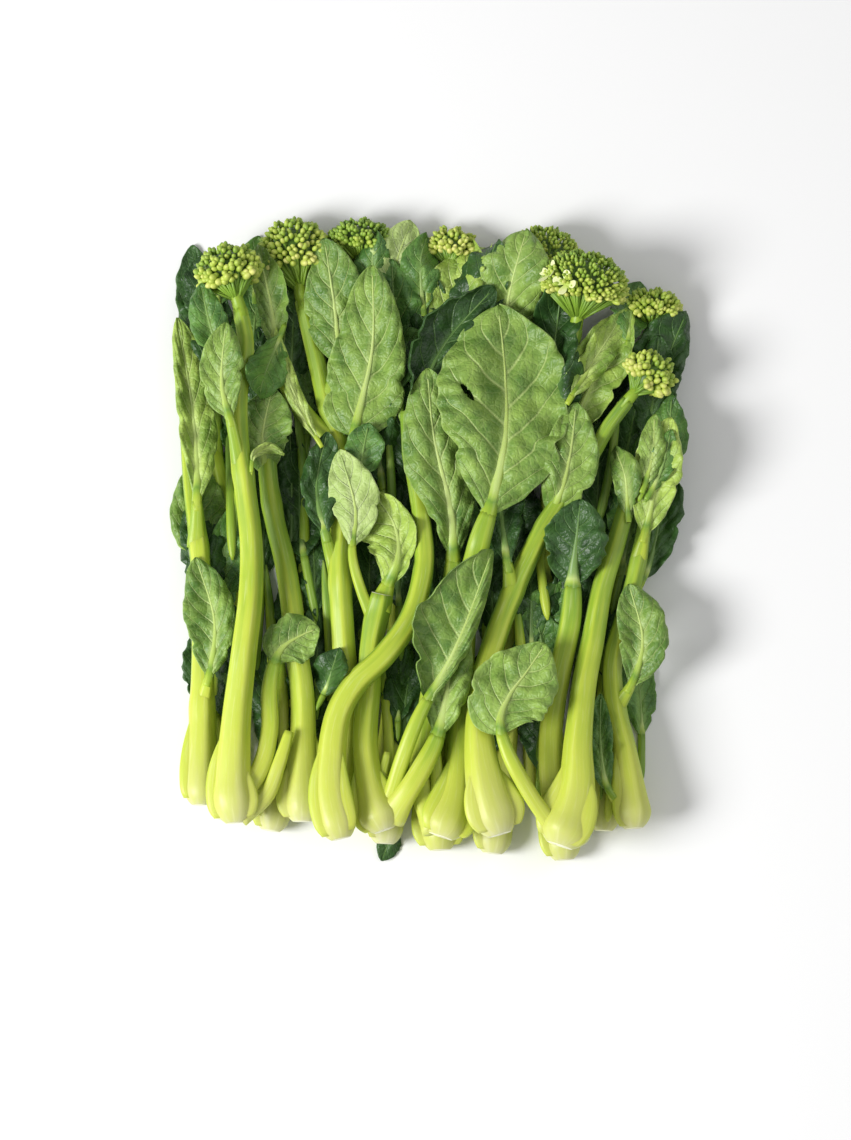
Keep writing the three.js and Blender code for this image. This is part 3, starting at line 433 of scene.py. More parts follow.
def wrapped(angle: Array) -> Array:
    """Returns angles brought between minus and plus half a turn."""
    return (angle + math.pi) % math.tau - math.pi


def smoothed(values: Array, rounds: int, axes: Sequence[int] = (0,)) -> Array:
    """Evens out values with their neighbours.

    Args:
        values: An array of numbers.
        rounds: How often each value takes a quarter from either side.
        axes: The axes along which it does.

    Returns:
        The evened values, in an array of the same shape.
    """
    for _ in range(rounds):
        for axis in axes:
            pads = [(1, 1) if k == axis else (0, 0) for k in range(values.ndim)]
            wide = np.pad(values, pads, mode="edge")
            count = values.shape[axis]
            before, middle, after = (np.take(wide, range(k, k + count), axis) for k in range(3))
            values = (before + 2 * middle + after) / 4
    return values


class Bed:
    """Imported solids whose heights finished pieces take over."""

    SKIP = 0.02 * MM  # how far a ray starts past its last crossing
    FAR = 0.2

    def __init__(self, nodes: Sequence[str]) -> None:
        """Builds the search tree.

        Args:
            nodes: The names of CAD nodes.
        """
        points: list[Vector] = []
        faces: list[list[int]] = []
        for name in nodes:
            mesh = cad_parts[name].data
            first = len(points)
            points.extend(vertex.co.copy() for vertex in mesh.vertices)
            faces.extend([first + i for i in polygon.vertices] for polygon in mesh.polygons)
        self.tree = BVHTree.FromPolygons(points, faces)

    def spans(self, x: float, y: float) -> list[tuple[float, float]]:
        """Returns the (lowest, highest) height of each solid stretch on an upright line."""
        found, entered = [], None
        origin = Vector((x, y, -self.FAR))
        while True:
            place, normal, _, _ = self.tree.ray_cast(origin, UP)
            if place is None:
                return found
            if normal.z < 0:
                entered = place.z
            elif entered is not None:
                found.append((entered, place.z))
                entered = None
            origin.z = place.z + self.SKIP

    def top(self, x: float, y: float) -> float:
        """Returns the height of the solids' top over a plan point, or the floor's."""
        place, _, _, _ = self.tree.ray_cast(Vector((x, y, self.FAR)), -UP)
        return place.z if place is not None else 0.0


def neighbours(values: Array, **padding: str | float) -> Array:
    """Returns the four neighbours of each value of a grid.

    Args:
        values: The grid.
        padding: How the grid goes on past its edges, in the words of np.pad.

    Returns:
        Four grids of the same shape.
    """
    wide = np.pad(values, 1, **padding)
    return np.stack([wide[:-2, 1:-1], wide[2:, 1:-1], wide[1:-1, :-2], wide[1:-1, 2:]])


def filled_in(height: Array) -> Array:
    """Returns heights whose gaps are grown over from their neighbours."""
    height = height.copy()
    if np.isnan(height).all():
        raise ValueError("no height was found under a blade")
    while np.isnan(height).any():
        near = neighbours(height, constant_values=np.nan)
        known = ~np.isnan(near)
        total = np.where(known, near, 0).sum(axis=0)
        count = known.sum(axis=0)
        empty = np.isnan(height) & (count > 0)
        height[empty] = total[empty] / count[empty]
    return height


def added(name: str, data: bpy.types.ID) -> bpy.types.Object:
    """Returns a new object of the scene."""
    item = bpy.data.objects.new(name, data)
    bpy.context.scene.collection.objects.link(item)
    return item


@dataclass(frozen=True)
class Laid:
    """What add_grid gives its vertices: places, the two maps, and the tone."""

    points: Array
    grain: Array
    form: Array
    tone: Array


class Maker:
    """A mesh in the making, with the maps and the tone that the finishes read."""

    DECIMETRE = 0.1  # the grain map's unit
    WELD = 1e-6

    def __init__(self) -> None:
        """Starts an empty mesh."""
        self.bm = bmesh.new()
        self.grain = self.bm.loops.layers.uv.new("Grain")
        self.form = self.bm.loops.layers.uv.new("Form")
        self.tone = self.bm.verts.layers.float.new("tone")

    def add_grid(
        self, columns: int, rows: int, lay: Callable[[Array, Array], Laid], material: int
    ) -> list[bmesh.types.BMVert]:
        """Adds a grid and lays it out.

        Args:
            columns: Number of faces across.
            rows: Number of faces along.
            lay: Takes each vertex's column and row number and gives its place, maps and tone.
            material: The material's number on the piece.

        Returns:
            The grid's vertices.
        """
        made = bmesh.ops.create_grid(self.bm, x_segments=columns, y_segments=rows, size=1.0)["verts"]
        laid = lay(*(
            np.rint([(vertex.co[axis] + 1) / 2 * count for vertex in made]).astype(int)
            for axis, count in enumerate((columns, rows))
        ))
        faces = {face for vertex in made for face in vertex.link_faces}
        for i, vertex in enumerate(made):
            vertex.index = i
            vertex.co = laid.points[i]
            vertex[self.tone] = laid.tone[i]
        for face in faces:
            face.material_index = material
            face.smooth = True
            for loop in face.loops:
                i = loop.vert.index
                loop[self.grain].uv = laid.grain[i]
                loop[self.form].uv = laid.form[i]
        return made

    def close_tube(self, made: list[bmesh.types.BMVert], cap_material: int) -> None:
        """Welds a tube's seam, fills its ends and turns its faces outwards.

        Args:
            made: The tube's vertices.
            cap_material: The material's number on the end faces.
        """
        bmesh.ops.remove_doubles(self.bm, verts=made, dist=self.WELD)
        alive = [vertex for vertex in made if vertex.is_valid]
        edges = {edge for vertex in alive for edge in vertex.link_edges if edge.is_boundary}
        caps = bmesh.ops.holes_fill(self.bm, edges=list(edges), sides=0)["faces"]
        for cap in caps:
            cap.material_index = cap_material
            for loop in cap.loops:
                loop[self.form].uv = (loop.vert.co.x / self.DECIMETRE, loop.vert.co.z / self.DECIMETRE)
        faces = {face for vertex in alive for face in vertex.link_faces}
        bmesh.ops.recalc_face_normals(self.bm, faces=list(faces))

    def shade(self, made: Sequence[bmesh.types.BMVert], material: int, tone: float) -> None:
        """Gives vertices made by another operator their material and tone."""
        for vertex in made:
            vertex[self.tone] = tone
            for face in vertex.link_faces:
                face.material_index = material
                face.smooth = True

    def finish(
        self, name: str, finishes: Sequence[bpy.types.Material], slot: str, nodes: Sequence[str]
    ) -> bpy.types.Object:
        """Makes the object, hangs it on its body and hides the CAD nodes that it replaces.

        Args:
            name: The piece's name.
            finishes: Its materials, in the order of their numbers.
            slot: Not used.
            nodes: The CAD nodes that it replaces.

        Returns:
            The finished object.
        """
        mesh = bpy.data.meshes.new(name)
        for vertex in self.bm.verts:
            vertex.co.z = max(vertex.co.z, 0.0)
        self.bm.normal_update()
        self.bm.to_mesh(mesh)
        self.bm.free()
        for material in finishes:
            mesh.materials.append(material)
        piece = added(name, mesh)
        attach(piece, ROOT)
        if nodes:
            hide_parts(*nodes)
        LOG.info("%s: %d faces", name, len(mesh.polygons))
        return piece


class Spine:
    """The line, frame and sizes of a tube, section by section."""

    def __init__(self, route: Route, distance: Array, height: Array, width: Array, depth: Array) -> None:
        """Sets up the sections.

        Args:
            route: The tube's plan route.
            distance: Distances of the sections along it.
            height: Heights of their middles.
            width: Their widths.
            depth: Their depths.
        """
        self.distance = distance
        self.centre = np.column_stack([route.place(distance), height])
        ahead = np.gradient(self.centre, axis=0)
        ahead /= np.linalg.norm(ahead, axis=1, keepdims=True)
        left = route.left(distance)
        self.left = np.column_stack([left, np.zeros(len(left))])
        self.up = np.cross(ahead, self.left)
        self.width = width
        self.depth = depth


Relief = Callable[[Array, Array], Array]
RELIEF_HIGHLIGHT_AND_SHADE = 2.6  # how much of the tone a ridge loses for each radius that it stands out, and a groove gains for each that it sinks: partly the skin's own paler ribs, partly painted highlight and shade of the relief
SIDE_SHADE = 0.45  # how much of the tone a tube gains from its top down to its sides: painted shade, greener where the round turns from the light


def add_tube(
    maker: Maker, spine: Spine, sides: int, relief: Relief, tone: Array, materials: tuple[int, int]
) -> None:
    """Adds a closed tube along a spine.

    Args:
        maker: The mesh in the making.
        spine: The tube's sections.
        sides: Number of faces round it.
        relief: Takes angles, with the top at a quarter turn, and distances, and gives shares of the radius.
        tone: The tone of each section.
        materials: The numbers of the side's and the ends' materials.
    """
    girth = math.pi * float(spine.width.mean()) / Maker.DECIMETRE

    def lay(column: Array, row: Array) -> Laid:
        """Lays out the tube's vertices."""
        around = column / sides
        angle = math.tau * around - math.pi / 2
        share = relief(angle, spine.distance[row])[:, None]
        # painted light in the tone: relief that stands out turns paler and relief that sinks greener, and
        # the sides and the underside turn greener as painted shade
        shaded = tone[row] - RELIEF_HIGHLIGHT_AND_SHADE * (share[:, 0] - 1) + SIDE_SHADE * (1 - np.sin(angle))
        across = spine.left[row] * (np.cos(angle) * spine.width[row] / 2)[:, None]
        lift = spine.up[row] * (np.sin(angle) * spine.depth[row] / 2)[:, None]
        grain = np.column_stack([around * girth, spine.distance[row] / Maker.DECIMETRE])
        return Laid(spine.centre[row] + (across + lift) * share, grain, grain, shaded)

    made = maker.add_grid(sides, len(spine.distance) - 1, lay, materials[0])
    maker.close_tube(made, materials[1])


def middles(bed: Bed, route: Route, distance: Array, depth: Array, start: float | None) -> Array:
    """Reads the heights of a stem's or stalk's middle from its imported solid.

    Args:
        bed: The solid.
        route: The stem's plan route.
        distance: Distances along it.
        depth: The stem's depth at each.
        start: The height at the first distance, or None where it is read as well.

    Returns:
        A height for each distance. Where the solid's depth there isn't the stem's own, because something
        else grows into it, the height is carried over from both sides.
    """
    trusted, slack = 0.16, 0.25 * MM  # share by which a depth may be off, and a length on top
    rounds = 6
    known_at, known = ([distance[0]], [start]) if start is not None else ([], [])
    for at, (x, y), deep in zip(distance, route.place(distance), depth):
        fits = [
            (low + high) / 2
            for low, high in bed.spans(x, y)
            if abs(high - low - deep) < trusted * deep + slack
        ]
        if not fits:
            continue
        last = known[-1] if known else fits[0]
        known_at.append(at)
        known.append(min(fits, key=lambda height: abs(height - last)))
    if not known:
        raise ValueError("no height was found along a stem")
    height = np.interp(distance, known_at, known)
    evened = smoothed(height, rounds)
    if start is not None:
        evened[0] = start
    return evened


@dataclass(frozen=True)
class StemForm:
    """How stems and stalks are shaped."""

    flatness: float = 0.88  # a stem's depth over its width
    stalk_flatness: float = 0.8
    joint_gap: float = 0.3 * MM  # from the top of the stem's solid to its route's end
    bulb: float = 0.5  # how far the butt's end is rounded, over its width
    cut_face: float = 0.5  # the cut end's width over the butt's
    butt_taper: float = 0.17  # of the stem's length
    late_taper: float = 1.6
    root_flare: float = 1.15  # a stalk's width at its root over that at its blade
    slimness: float = 0.94  # over the solid's width
    plugged: tuple[float, ...] = (1.0, 1.0, 0.96)  # a tube's last sections, inside what goes on from it
    overlap: float = 3.0 * MM
    step: float = 1.6 * MM
    least_steps: int = 8
    least_stalk: float = 2.0 * MM
    sides: int = 40
    stalk_sides: int = 24


STEM = StemForm()


def stem_width(width: tuple[float, float, float], distance: Array, length: float) -> Array:
    """Returns a stem's width at distances from its butt, in metres."""
    butt, waist, top = (value * MM for value in width)
    inwards = 1 - np.clip(distance / (STEM.bulb * butt), 0, 1)
    edge = np.sqrt(1 - (1 - STEM.cut_face**2) * inwards**2)
    swell = np.exp(-((distance / (STEM.butt_taper * length)) ** 2))
    shaft = waist + (top - waist) * (distance / length) ** STEM.late_taper
    return edge * (shaft + (butt - waist) * swell)


def ridges(seed: float, depth: float, count: int = 5) -> Relief:
    """Returns the relief of a stem with soft ridges that end in a crisp edge.

    Args:
        seed: Turns the ridges.
        depth: Their depth as a share of the radius.
        count: Their number.

    Returns:
        A function of angles and distances.
    """
    at_butt, growth = 0.2, 16 * MM
    turning, turn_length = 0.25, 60 * MM

    def relief(angle: Array, distance: Array) -> Array:
        """Returns shares of the radius."""
        twist = angle + seed + turning * np.sin(distance / turn_length + seed)
        grown = at_butt + (1 - at_butt) * (1 - np.exp(-distance / growth))
        return 1 + depth * grown * (0.5 - np.abs(np.sin(count / 2 * twist)))

    return relief


def grooved(seed: float, depth: float) -> Relief:
    """Returns the relief of a leaf stalk with a groove along its upper side.

    Args:
        seed: Places the faint ribs.
        depth: The groove's depth as a share of the radius.

    Returns:
        A function of angles and distances.
    """
    groove_width = 0.55
    rib_depth, rib_count = 0.018, 9

    def relief(angle: Array, distance: Array) -> Array:
        """Returns shares of the radius."""
        from_top = wrapped(angle - math.pi / 2)
        groove = np.exp(-((from_top / groove_width) ** 2))
        ribs = rib_depth * np.cos(rib_count * from_top + seed)
        return 1 - depth * groove + ribs

    return relief


def swelling(distance: Array, places: Sequence[float], height: float, reach: float) -> Array:
    """Returns the share by which a stem is thicker near the places where leaves leave it."""
    extra = np.zeros_like(distance)
    for place in places:
        extra += height * np.exp(-(((distance - place) / reach) ** 2))
    return 1 + extra


SLOTS: Mapping[Look, str] = {
    Look.FRESH: "leaf",
    Look.LIGHT: "light_leaf",
    Look.DARK: "dark_leaf",
    Look.SMALL: "leaf",
}
STALK_TONES: Mapping[Look, float] = {Look.LIGHT: 2.0, Look.FRESH: 2.2, Look.SMALL: 2.5, Look.DARK: 2.5}
RIB_TONES: Mapping[Look, tuple[float, float]] = {
    Look.LIGHT: (3.5, 4.0),
    Look.FRESH: (3.5, 4.0),
    Look.SMALL: (4.3, 4.5),
    Look.DARK: (4.6, 4.8),
}


@dataclass(frozen=True)
class Stalk:
    """A leaf stalk laid on its solid: where it ends, and how high and wide it is there."""

    route: Route
    end: float
    height: float
    width: float


class StemMaker:
    """Makes a plant's stem with the stalks and shoots that grow from it."""

    CUT_STEPS = (0, 0.15, 0.5, 1.0, 1.7, 2.5, 3.5, 4.7, 6.0)  # millimetres from the cut end
    SLIMMING, SLIMMED = 0.2, 12 * MM  # share that a stalk loses over its last stretch, and the stretch
    RIDGES, GROOVE = 0.11, 0.14  # depths over the radius, of a stem and of a stalk
    SWELLING = (0.1, 3.5 * MM)  # of a stem where a leaf leaves it
    CLASPING = 5 * MM  # over which a stalk's wide root ends
    GREENING = 0.42  # share of the stem over which the butt's cream turns lime
    LIME, GREEN, PALE = 2.0, 2.5, 1.6  # tones in mid stem, at a stem's top and at a shoot's
    CUT_PALER = (0.25, 5 * MM)  # how much paler the cut end is, and how far up
    WIDE_BUTT = 12 * MM
    SCALE_STEPS, SCALE_SIDES = 20, 18
    SCALE = (0.52, 0.16)  # a scale's width and depth over the butt's width

    def __init__(self, plan: PlantPlan, finishes: Finishes) -> None:
        """Starts the plant.

        Args:
            plan: The plant in plan.
            finishes: The scene's materials.
        """
        self.plan = plan
        self.finishes = finishes
        self.draw = random.Random(plan.name)
        self.maker = Maker()
        self.bed = Bed([f"{plan.name}_stem"])
        self.route = Route(plan.route)
        self.length = self.route.length - STEM.joint_gap
        self.start_tone = self.draw.uniform(0.1, 0.8)
        self.heights = np.zeros(0)
        self.distance = np.zeros(0)

    def _tones(self, distance: Array, length: float, end_tone: float) -> Array:
        """Returns the tone along a stem: cream at the butt, lime, then greener towards the top."""
        share = distance / length
        lime = self.start_tone + (self.LIME - self.start_tone) * np.clip(share / self.GREENING, 0, 1) ** 0.6
        green = max(end_tone - self.LIME, 0) * np.clip((share - 0.45) / 0.55, 0, 1)
        return lime + green + self.draw.uniform(-0.12, 0.12)

    def add_stem(self) -> None:
        """Adds the stem with its butt."""
        ends = self.CUT_STEPS[-1] * MM
        steps = round((self.length - ends) / STEM.step)
        beyond = np.linspace(ends, self.length, steps + 1)[1:]
        self.distance = np.concatenate([np.array(self.CUT_STEPS) * MM, beyond])
        width = stem_width(self.plan.width, self.distance, self.length)
        self.heights = middles(self.bed, self.route, self.distance, width * STEM.flatness, None)
        roots = [self._root_at(leaf.route[0]) for leaf in (*self.plan.leaves, *self.plan.small_leaves)]
        width = width * swelling(self.distance, roots, *self.SWELLING) * STEM.slimness
        width[-len(STEM.plugged) :] *= STEM.plugged
        spine = Spine(self.route, self.distance, self.heights, width, width * STEM.flatness)
        relief = ridges(self.draw.uniform(0, math.tau), self.RIDGES)
        paler, reach = self.CUT_PALER
        tone = self._tones(self.distance, self.length, self.GREEN)
        tone -= paler * np.exp(-self.distance / reach)
        add_tube(self.maker, spine, STEM.sides, relief, tone, (0, 1))

    def _root_at(self, point: Point) -> float:
        """Returns the distance along the stem that is nearest to a plan point in millimetres."""
        place = (np.array(point) + MIDDLE_SHIFT) * MM
        nearest = np.argmin(np.linalg.norm(self.route.line - place, axis=1))
        return float(self.route.at[nearest])

    def add_stalk(
        self, route: Route, end: float, width: tuple[float, float], end_tone: float, sheath: float
    ) -> Stalk:
        """Adds a stalk that starts in the stem.

        Args:
            route: Its plan route.
            end: The distance along the route at which it ends.
            width: Its width at the root and at the end, in metres.
            end_tone: Its tone at the end.
            sheath: How much wider its root is, where it clasps the stem.

        Returns:
            Where the stalk ends.
        """
        steps = max(STEM.least_steps, round(end / STEM.step))
        distance = np.linspace(0, end, steps + 1)
        wide = width[0] + (width[1] - width[0]) * distance / end
        wide = wide * (1 - self.SLIMMING * np.clip((distance - end) / self.SLIMMED + 1, 0, 1) ** 2)
        root = self._root_at(tuple(route.line[0] / MM - MIDDLE_SHIFT))
        start = float(np.interp(root, self.distance, self.heights))
        height = middles(self.bed, route, distance, wide * STEM.stalk_flatness, start)
        clasp = 1 + sheath * np.exp(-((distance / self.CLASPING) ** 2))
        clasp[-len(STEM.plugged) :] *= STEM.plugged
        spine = Spine(route, distance, height, wide * clasp, wide * STEM.stalk_flatness * clasp**0.5)
        tone = self._tones(root + distance, self.length, end_tone)
        late = np.clip((distance / end - 0.5) / 0.5, 0, 1)
        tone = tone + (end_tone - tone) * late**2
        groove = grooved(self.draw.uniform(0, 6), self.GROOVE)
        add_tube(self.maker, spine, STEM.stalk_sides, groove, tone, (0, 0))
        return Stalk(route, end, float(height[-1]), float(wide[-1]))

    def add_leaf_stalk(self, leaf: LeafPlan) -> Stalk:
        """Adds the stalk of a leaf, up to its blade."""
        route = Route(leaf.route)
        stalk = leaf.stalk * MM
        end = max(route.length - leaf.length * MM, STEM.least_stalk)
        return self.add_stalk(route, end, (stalk * STEM.root_flare, stalk), STALK_TONES[leaf.look], 0.35)

    def add_scales(self) -> None:
        """Adds the sheathing bases of old leaves that clasp the butt."""
        butt = self.plan.width[0] * MM
        turns = (0.12, 0.82) if butt > self.WIDE_BUTT else (0.2,)
        for turn in turns:
            angle = math.pi * (turn + self.draw.uniform(-0.12, 0.12))
            first = self.draw.uniform(0.8, 2.0) * MM
            length = self.draw.uniform(16, 30) * MM
            distance = np.linspace(first, first + length, self.SCALE_STEPS)
            share = np.linspace(0, 1, self.SCALE_STEPS)
            around = stem_width(self.plan.width, distance, self.length) * STEM.slimness / 2
            inside = around * (0.9 - 0.12 * share**2)
            left = self.route.left(distance) * (np.cos(angle) * inside)[:, None]
            height = np.interp(distance, self.distance, self.heights)
            height += np.sin(angle) * inside * STEM.flatness
            outline = np.sin(math.pi * (0.22 + 0.78 * share)) ** 0.9
            width = np.maximum(butt * self.SCALE[0] * outline, 0.4 * MM)
            depth = np.maximum(butt * self.SCALE[1] * outline, 0.3 * MM)
            spine = Spine(self.route, distance, height, width, depth)
            spine.centre[:, :2] += left
            tone = self._tones(distance + 6 * MM, self.length, self.GREEN) + 0.1
            groove = grooved(self.draw.uniform(0, 6), 0.05)
            add_tube(self.maker, spine, self.SCALE_SIDES, groove, tone, (0, 0))

    def add_shoot(self, shoot: ShootPlan) -> None:
        """Adds a stalk with no blade."""
        route = Route(shoot.route)
        root, end = shoot.width
        self.add_stalk(route, route.length, (root * MM, end * MM), self.PALE, 0.3)

    def top(self) -> Array:
        """Returns the place of the middle of the stem's top."""
        return np.array([*self.route.place(self.length), self.heights[-1]])

    def finish(self) -> bpy.types.Object:
        """Makes the object."""
        name = f"{self.plan.name}_stem"
        return self.maker.finish(f"{name}_live", (self.finishes.stem, self.finishes.cut), "stem", [name])


VEINS_A_SIDE = 6
VEIN_ARCH = (0.24, 0.1)  # how far up the blade a side vein gets on its way to the margin, and its bend


def vein_phase(share: Array, fraction: Array) -> Array:
    """Returns the phase of the side veins, which is a half where a vein runs.

    Args:
        share: Shares of the blade's length.
        fraction: Shares of the half width, below 0 on the right.

    Returns:
        A phase for each point.
    """
    out = np.abs(fraction)
    arch = VEIN_ARCH[0] * out + VEIN_ARCH[1] * out**2
    return (share - arch) * VEINS_A_SIDE + np.where(fraction > 0, 0.0, 0.5)


@dataclass(frozen=True)
class BladeForm:
    """How blades are shaped."""

    fullness: float = 0.62  # how square the outline's shoulders are
    root_reach: float = 0.42  # the half width at the root over the stalk's width
    tip_reach: float = 0.35 * MM
    across_step: float = 0.75 * MM
    along_step: float = 0.85 * MM
    thickness: float = 0.42 * MM
    rib_tip: float = 0.5 * MM
    rib_share: float = 0.95  # of the blade's length
    rib_sides: int = 12
    roll_radius: float = 2.0 * MM
    roll_turn: float = 1.35 * math.pi
    ruffle_length: float = 11 * MM
    crinkle_length: float = 5 * MM


BLADE = BladeForm()


@dataclass(frozen=True)
class Texture:
    """How lively a blade's surface is, in millimetres."""

    ruffle: float
    crinkle: float
    puff: float
    scallop: float
    swing: float  # height of the folds that run along it, over its half width


TEXTURES: Mapping[Look, Texture] = {
    Look.FRESH: Texture(ruffle=1.9, crinkle=0.9, puff=1.0, scallop=0.03, swing=0.085),
    Look.LIGHT: Texture(ruffle=2.2, crinkle=0.8, puff=0.8, scallop=0.035, swing=0.1),
    Look.DARK: Texture(ruffle=2.6, crinkle=1.3, puff=0.8, scallop=0.055, swing=0.08),
    Look.SMALL: Texture(ruffle=2.0, crinkle=0.9, puff=0.7, scallop=0.05, swing=0.09),
}


class Lay:
    """How a blade gets its heights: read off its own solid, or draped over others."""

    def heights(self, plan: Array, start: float) -> Array:
        """Returns the blade's middle heights.

        Args:
            plan: Plan points in rows across the blade.
            start: The height at the middle of the blade's root.

        Returns:
            A height for each point.
        """
        raise NotImplementedError

    def along(self, route: Route, distance: Array) -> Array:
        """Returns the heights of a stalk's underside at distances along its route."""
        return self.heights(route.place(distance)[:, None, :], 0.0)[:, 0]


@dataclass(frozen=True)
class OnSolid(Lay):
    """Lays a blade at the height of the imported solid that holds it."""

    bed: Bed
    steepest: float = math.inf  # how far the height may change from one point to the next

    ROUNDS = 26

    def _near(self, place: Array, height: float) -> float:
        """Returns the middle of the solid stretch nearest to a height, or NaN where none is near."""
        found = [(low + high) / 2 for low, high in self.bed.spans(float(place[0]), float(place[1]))]
        best = min(found, key=lambda value: abs(value - height), default=math.nan)
        return best if abs(best - height) < self.steepest else math.nan

    def heights(self, plan: Array, start: float) -> Array:
        """Returns the blade's middle heights, found from the midrib outwards."""
        rows, columns = plan.shape[:2]
        centre = columns // 2
        height = np.full((rows, columns), np.nan)
        on_rib = start
        for row in range(rows):
            height[row, centre] = self._near(plan[row, centre], on_rib)
            on_rib = on_rib if math.isnan(height[row, centre]) else height[row, centre]
            for outwards in (range(centre - 1, -1, -1), range(centre + 1, columns)):
                last = on_rib
                for column in outwards:
                    height[row, column] = self._near(plan[row, column], last)
                    last = last if math.isnan(height[row, column]) else height[row, column]
        return smoothed(filled_in(height), self.ROUNDS, (0, 1))


@dataclass(frozen=True)
class Draped(Lay):
    """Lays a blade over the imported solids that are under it."""

    bed: Bed
    gap: float  # how far the blade's middle keeps above them

    ROUNDS = 24
    DROP = 0.9 * MM  # the most by which a blade goes down from one point to the next
    REACHES = 30  # points over which that holds a blade up

    def heights(self, plan: Array, start: float) -> Array:
        """Returns the blade's middle heights."""
        rows, columns = plan.shape[:2]
        tops = [[self.bed.top(*plan[row, column]) for column in range(columns)] for row in range(rows)]
        least = np.array(tops) + self.gap
        for _ in range(self.REACHES):
            least = np.maximum(least, neighbours(least, mode="edge").max(axis=0) - self.DROP)
        height = least
        for _ in range(self.ROUNDS):
            height = np.maximum(least, smoothed(height, 2, (0, 1)))
        return smoothed(height, 2, (0, 1))


@dataclass(frozen=True)
class Level(Lay):
    """Lays a blade flat at one height."""

    height: float

    def heights(self, plan: Array, start: float) -> Array:
        """Returns the blade's middle heights."""
        return np.full(plan.shape[:2], self.height)


class BladeMaker:
    """Makes one leaf blade with its midrib."""

    EARLY = (3.2, 2.4, 1.2)  # millimetres before the blade, where the midrib starts inside the stalk
    NARROWED = (0.8, 0.88, 0.95)
    TEAR = (3.4 * MM, 1.0 * MM)  # half its length and half its width
    TEAR_LEAN = 0.6
    TEAR_RIM = (0.6, 1.5)  # shares of its size between which points move onto its rim
    NOTCH, NOTCH_WIDTH = 0.16, 0.03  # of the one notch in each margin, over the half width and the length
    SCALLOPS = (0.5, 1.3)  # how much the slow waves and the quick ones of a margin count
    WANDERING = 0.18  # of a margin in large, over the half width
    RUFFLED = 0.35  # share of the half width at which the ruffles start
    RUFFLES = (1.0, 2.3)  # waves for each ruffle's length, the second fainter
    SWINGS = (4.4, 2.6)  # turn of the long folds over the half width and over the length
    RIB_DEEPER = 1.3  # a midrib's depth over its width at the tip
    RIB_TAPERS = (2.6, 3.2)  # how fast it loses its width and its depth
    RIB_ROUNDS = (6, 12)  # for its heights and its tones
    SETTLING = 8 * MM  # over which the blade leaves its stalk's height
    LEAST_HEIGHT = 0.6 * MM
    SOFTNESS = 0.8 * MM

    def __init__(self, name: str, leaf: LeafPlan, lay: Lay, stalk: Stalk, finishes: Finishes) -> None:
        """Sets up the blade.

        Args:
            name: The piece's name.
            leaf: The leaf in plan.
            lay: How it gets its heights.
            stalk: The stalk that it ends.
            finishes: The scene's materials.
        """
        self.name = name
        self.leaf = leaf
        self.lay = lay
        self.stalk = stalk
        self.finishes = finishes
        self.draw = random.Random(name)
        self.texture = TEXTURES[leaf.look]
        self.length = stalk.route.length - stalk.end
        self.seed = self.draw.uniform(0, 100)
        self.rib_heights = np.zeros(0)
        self.maker = Maker()

    def reach(self, share: Array, side: int) -> Array:
        """Returns the blade's half width at shares of its length.

        Args:
            share: Shares of the length.
            side: 0 for the left side and 1 for the right.

        Returns:
            Half widths in metres.
        """
        bend = math.log(0.5) / math.log(self.leaf.widest)
        outline = np.sin(math.pi * np.clip(share, 0, 1) ** bend).clip(0) ** BLADE.fullness
        narrow = self.leaf.stalk * MM * BLADE.root_reach
        least = narrow + (BLADE.tip_reach - narrow) * np.sqrt(share)
        return np.maximum(self.leaf.reach[side] * MM * outline, least)

    def _scallops(self, share: Array, side: int) -> Array:
        """Returns the share by which the margin goes in and out."""
        turns = 5.5 + 2.5 * math.sin(self.seed + side)
        slow = np.sin(math.tau * (turns * share) + self.seed * (1 + side))
        quick, whole = (
            np.array([noise.noise(Vector((value * pace, start, side * apart))) for value in share])
            for pace, start, apart in ((17, self.seed, 9.0), (3.1, 40 + self.seed, 7.0))
        )
        notch_at = 0.15 + 0.35 * (self.seed * (side + 1.37) % 1)
        notch = np.exp(-(((share - notch_at) / self.NOTCH_WIDTH) ** 2))
        scallops = self.texture.scallop * (self.SCALLOPS[0] * slow + self.SCALLOPS[1] * quick)
        return 1 + scallops + self.WANDERING * whole - self.NOTCH * notch

    def _sheet(self) -> tuple[Array, Array, Array, Array]:
        """Lays out the sheet.

        Returns:
            The points in rows across, each row's share of the length, each point's side share from -1 to 1,
            and each point's distance from the midrib.
        """
        widest = max(self.leaf.reach) * MM
        half = max(5, round(widest / BLADE.across_step))
        rows = max(12, round(self.length / BLADE.along_step))
        share = np.linspace(0, 1, rows + 1)
        fraction = np.linspace(1, -1, 2 * half + 1)
        left = self.reach(share, 0) * self._scallops(share, 0)
        right = self.reach(share, 1) * self._scallops(share, 1)
        across = np.where(fraction > 0, left[:, None], right[:, None]) * fraction[None, :]
        distance = self.stalk.end + share * self.length
        middle, side = self.stalk.route.place(distance), self.stalk.route.left(distance)
        plan = middle[:, None, :] + side[:, None, :] * across[..., None]
        settled = np.clip(share * self.length / self.SETTLING, 0, 1)[:, None]
        settled = settled**2 * (3 - 2 * settled)
        start = self.stalk.height
        height = start + (self.lay.heights(plan, start) - start) * settled
        self.rib_heights = height[:, half].copy()
        rolled, lift = self._rolled(across, left, right)
        plan = middle[:, None, :] + side[:, None, :] * rolled[..., None]
        above = height + lift + self._relief(share, fraction, plan) - self.LEAST_HEIGHT
        height = self.LEAST_HEIGHT + (above + np.hypot(above, self.SOFTNESS)) / 2
        plan = self._opened(plan)
        points = np.concatenate([plan, height[..., None]], axis=-1)
        return points, share, fraction, across

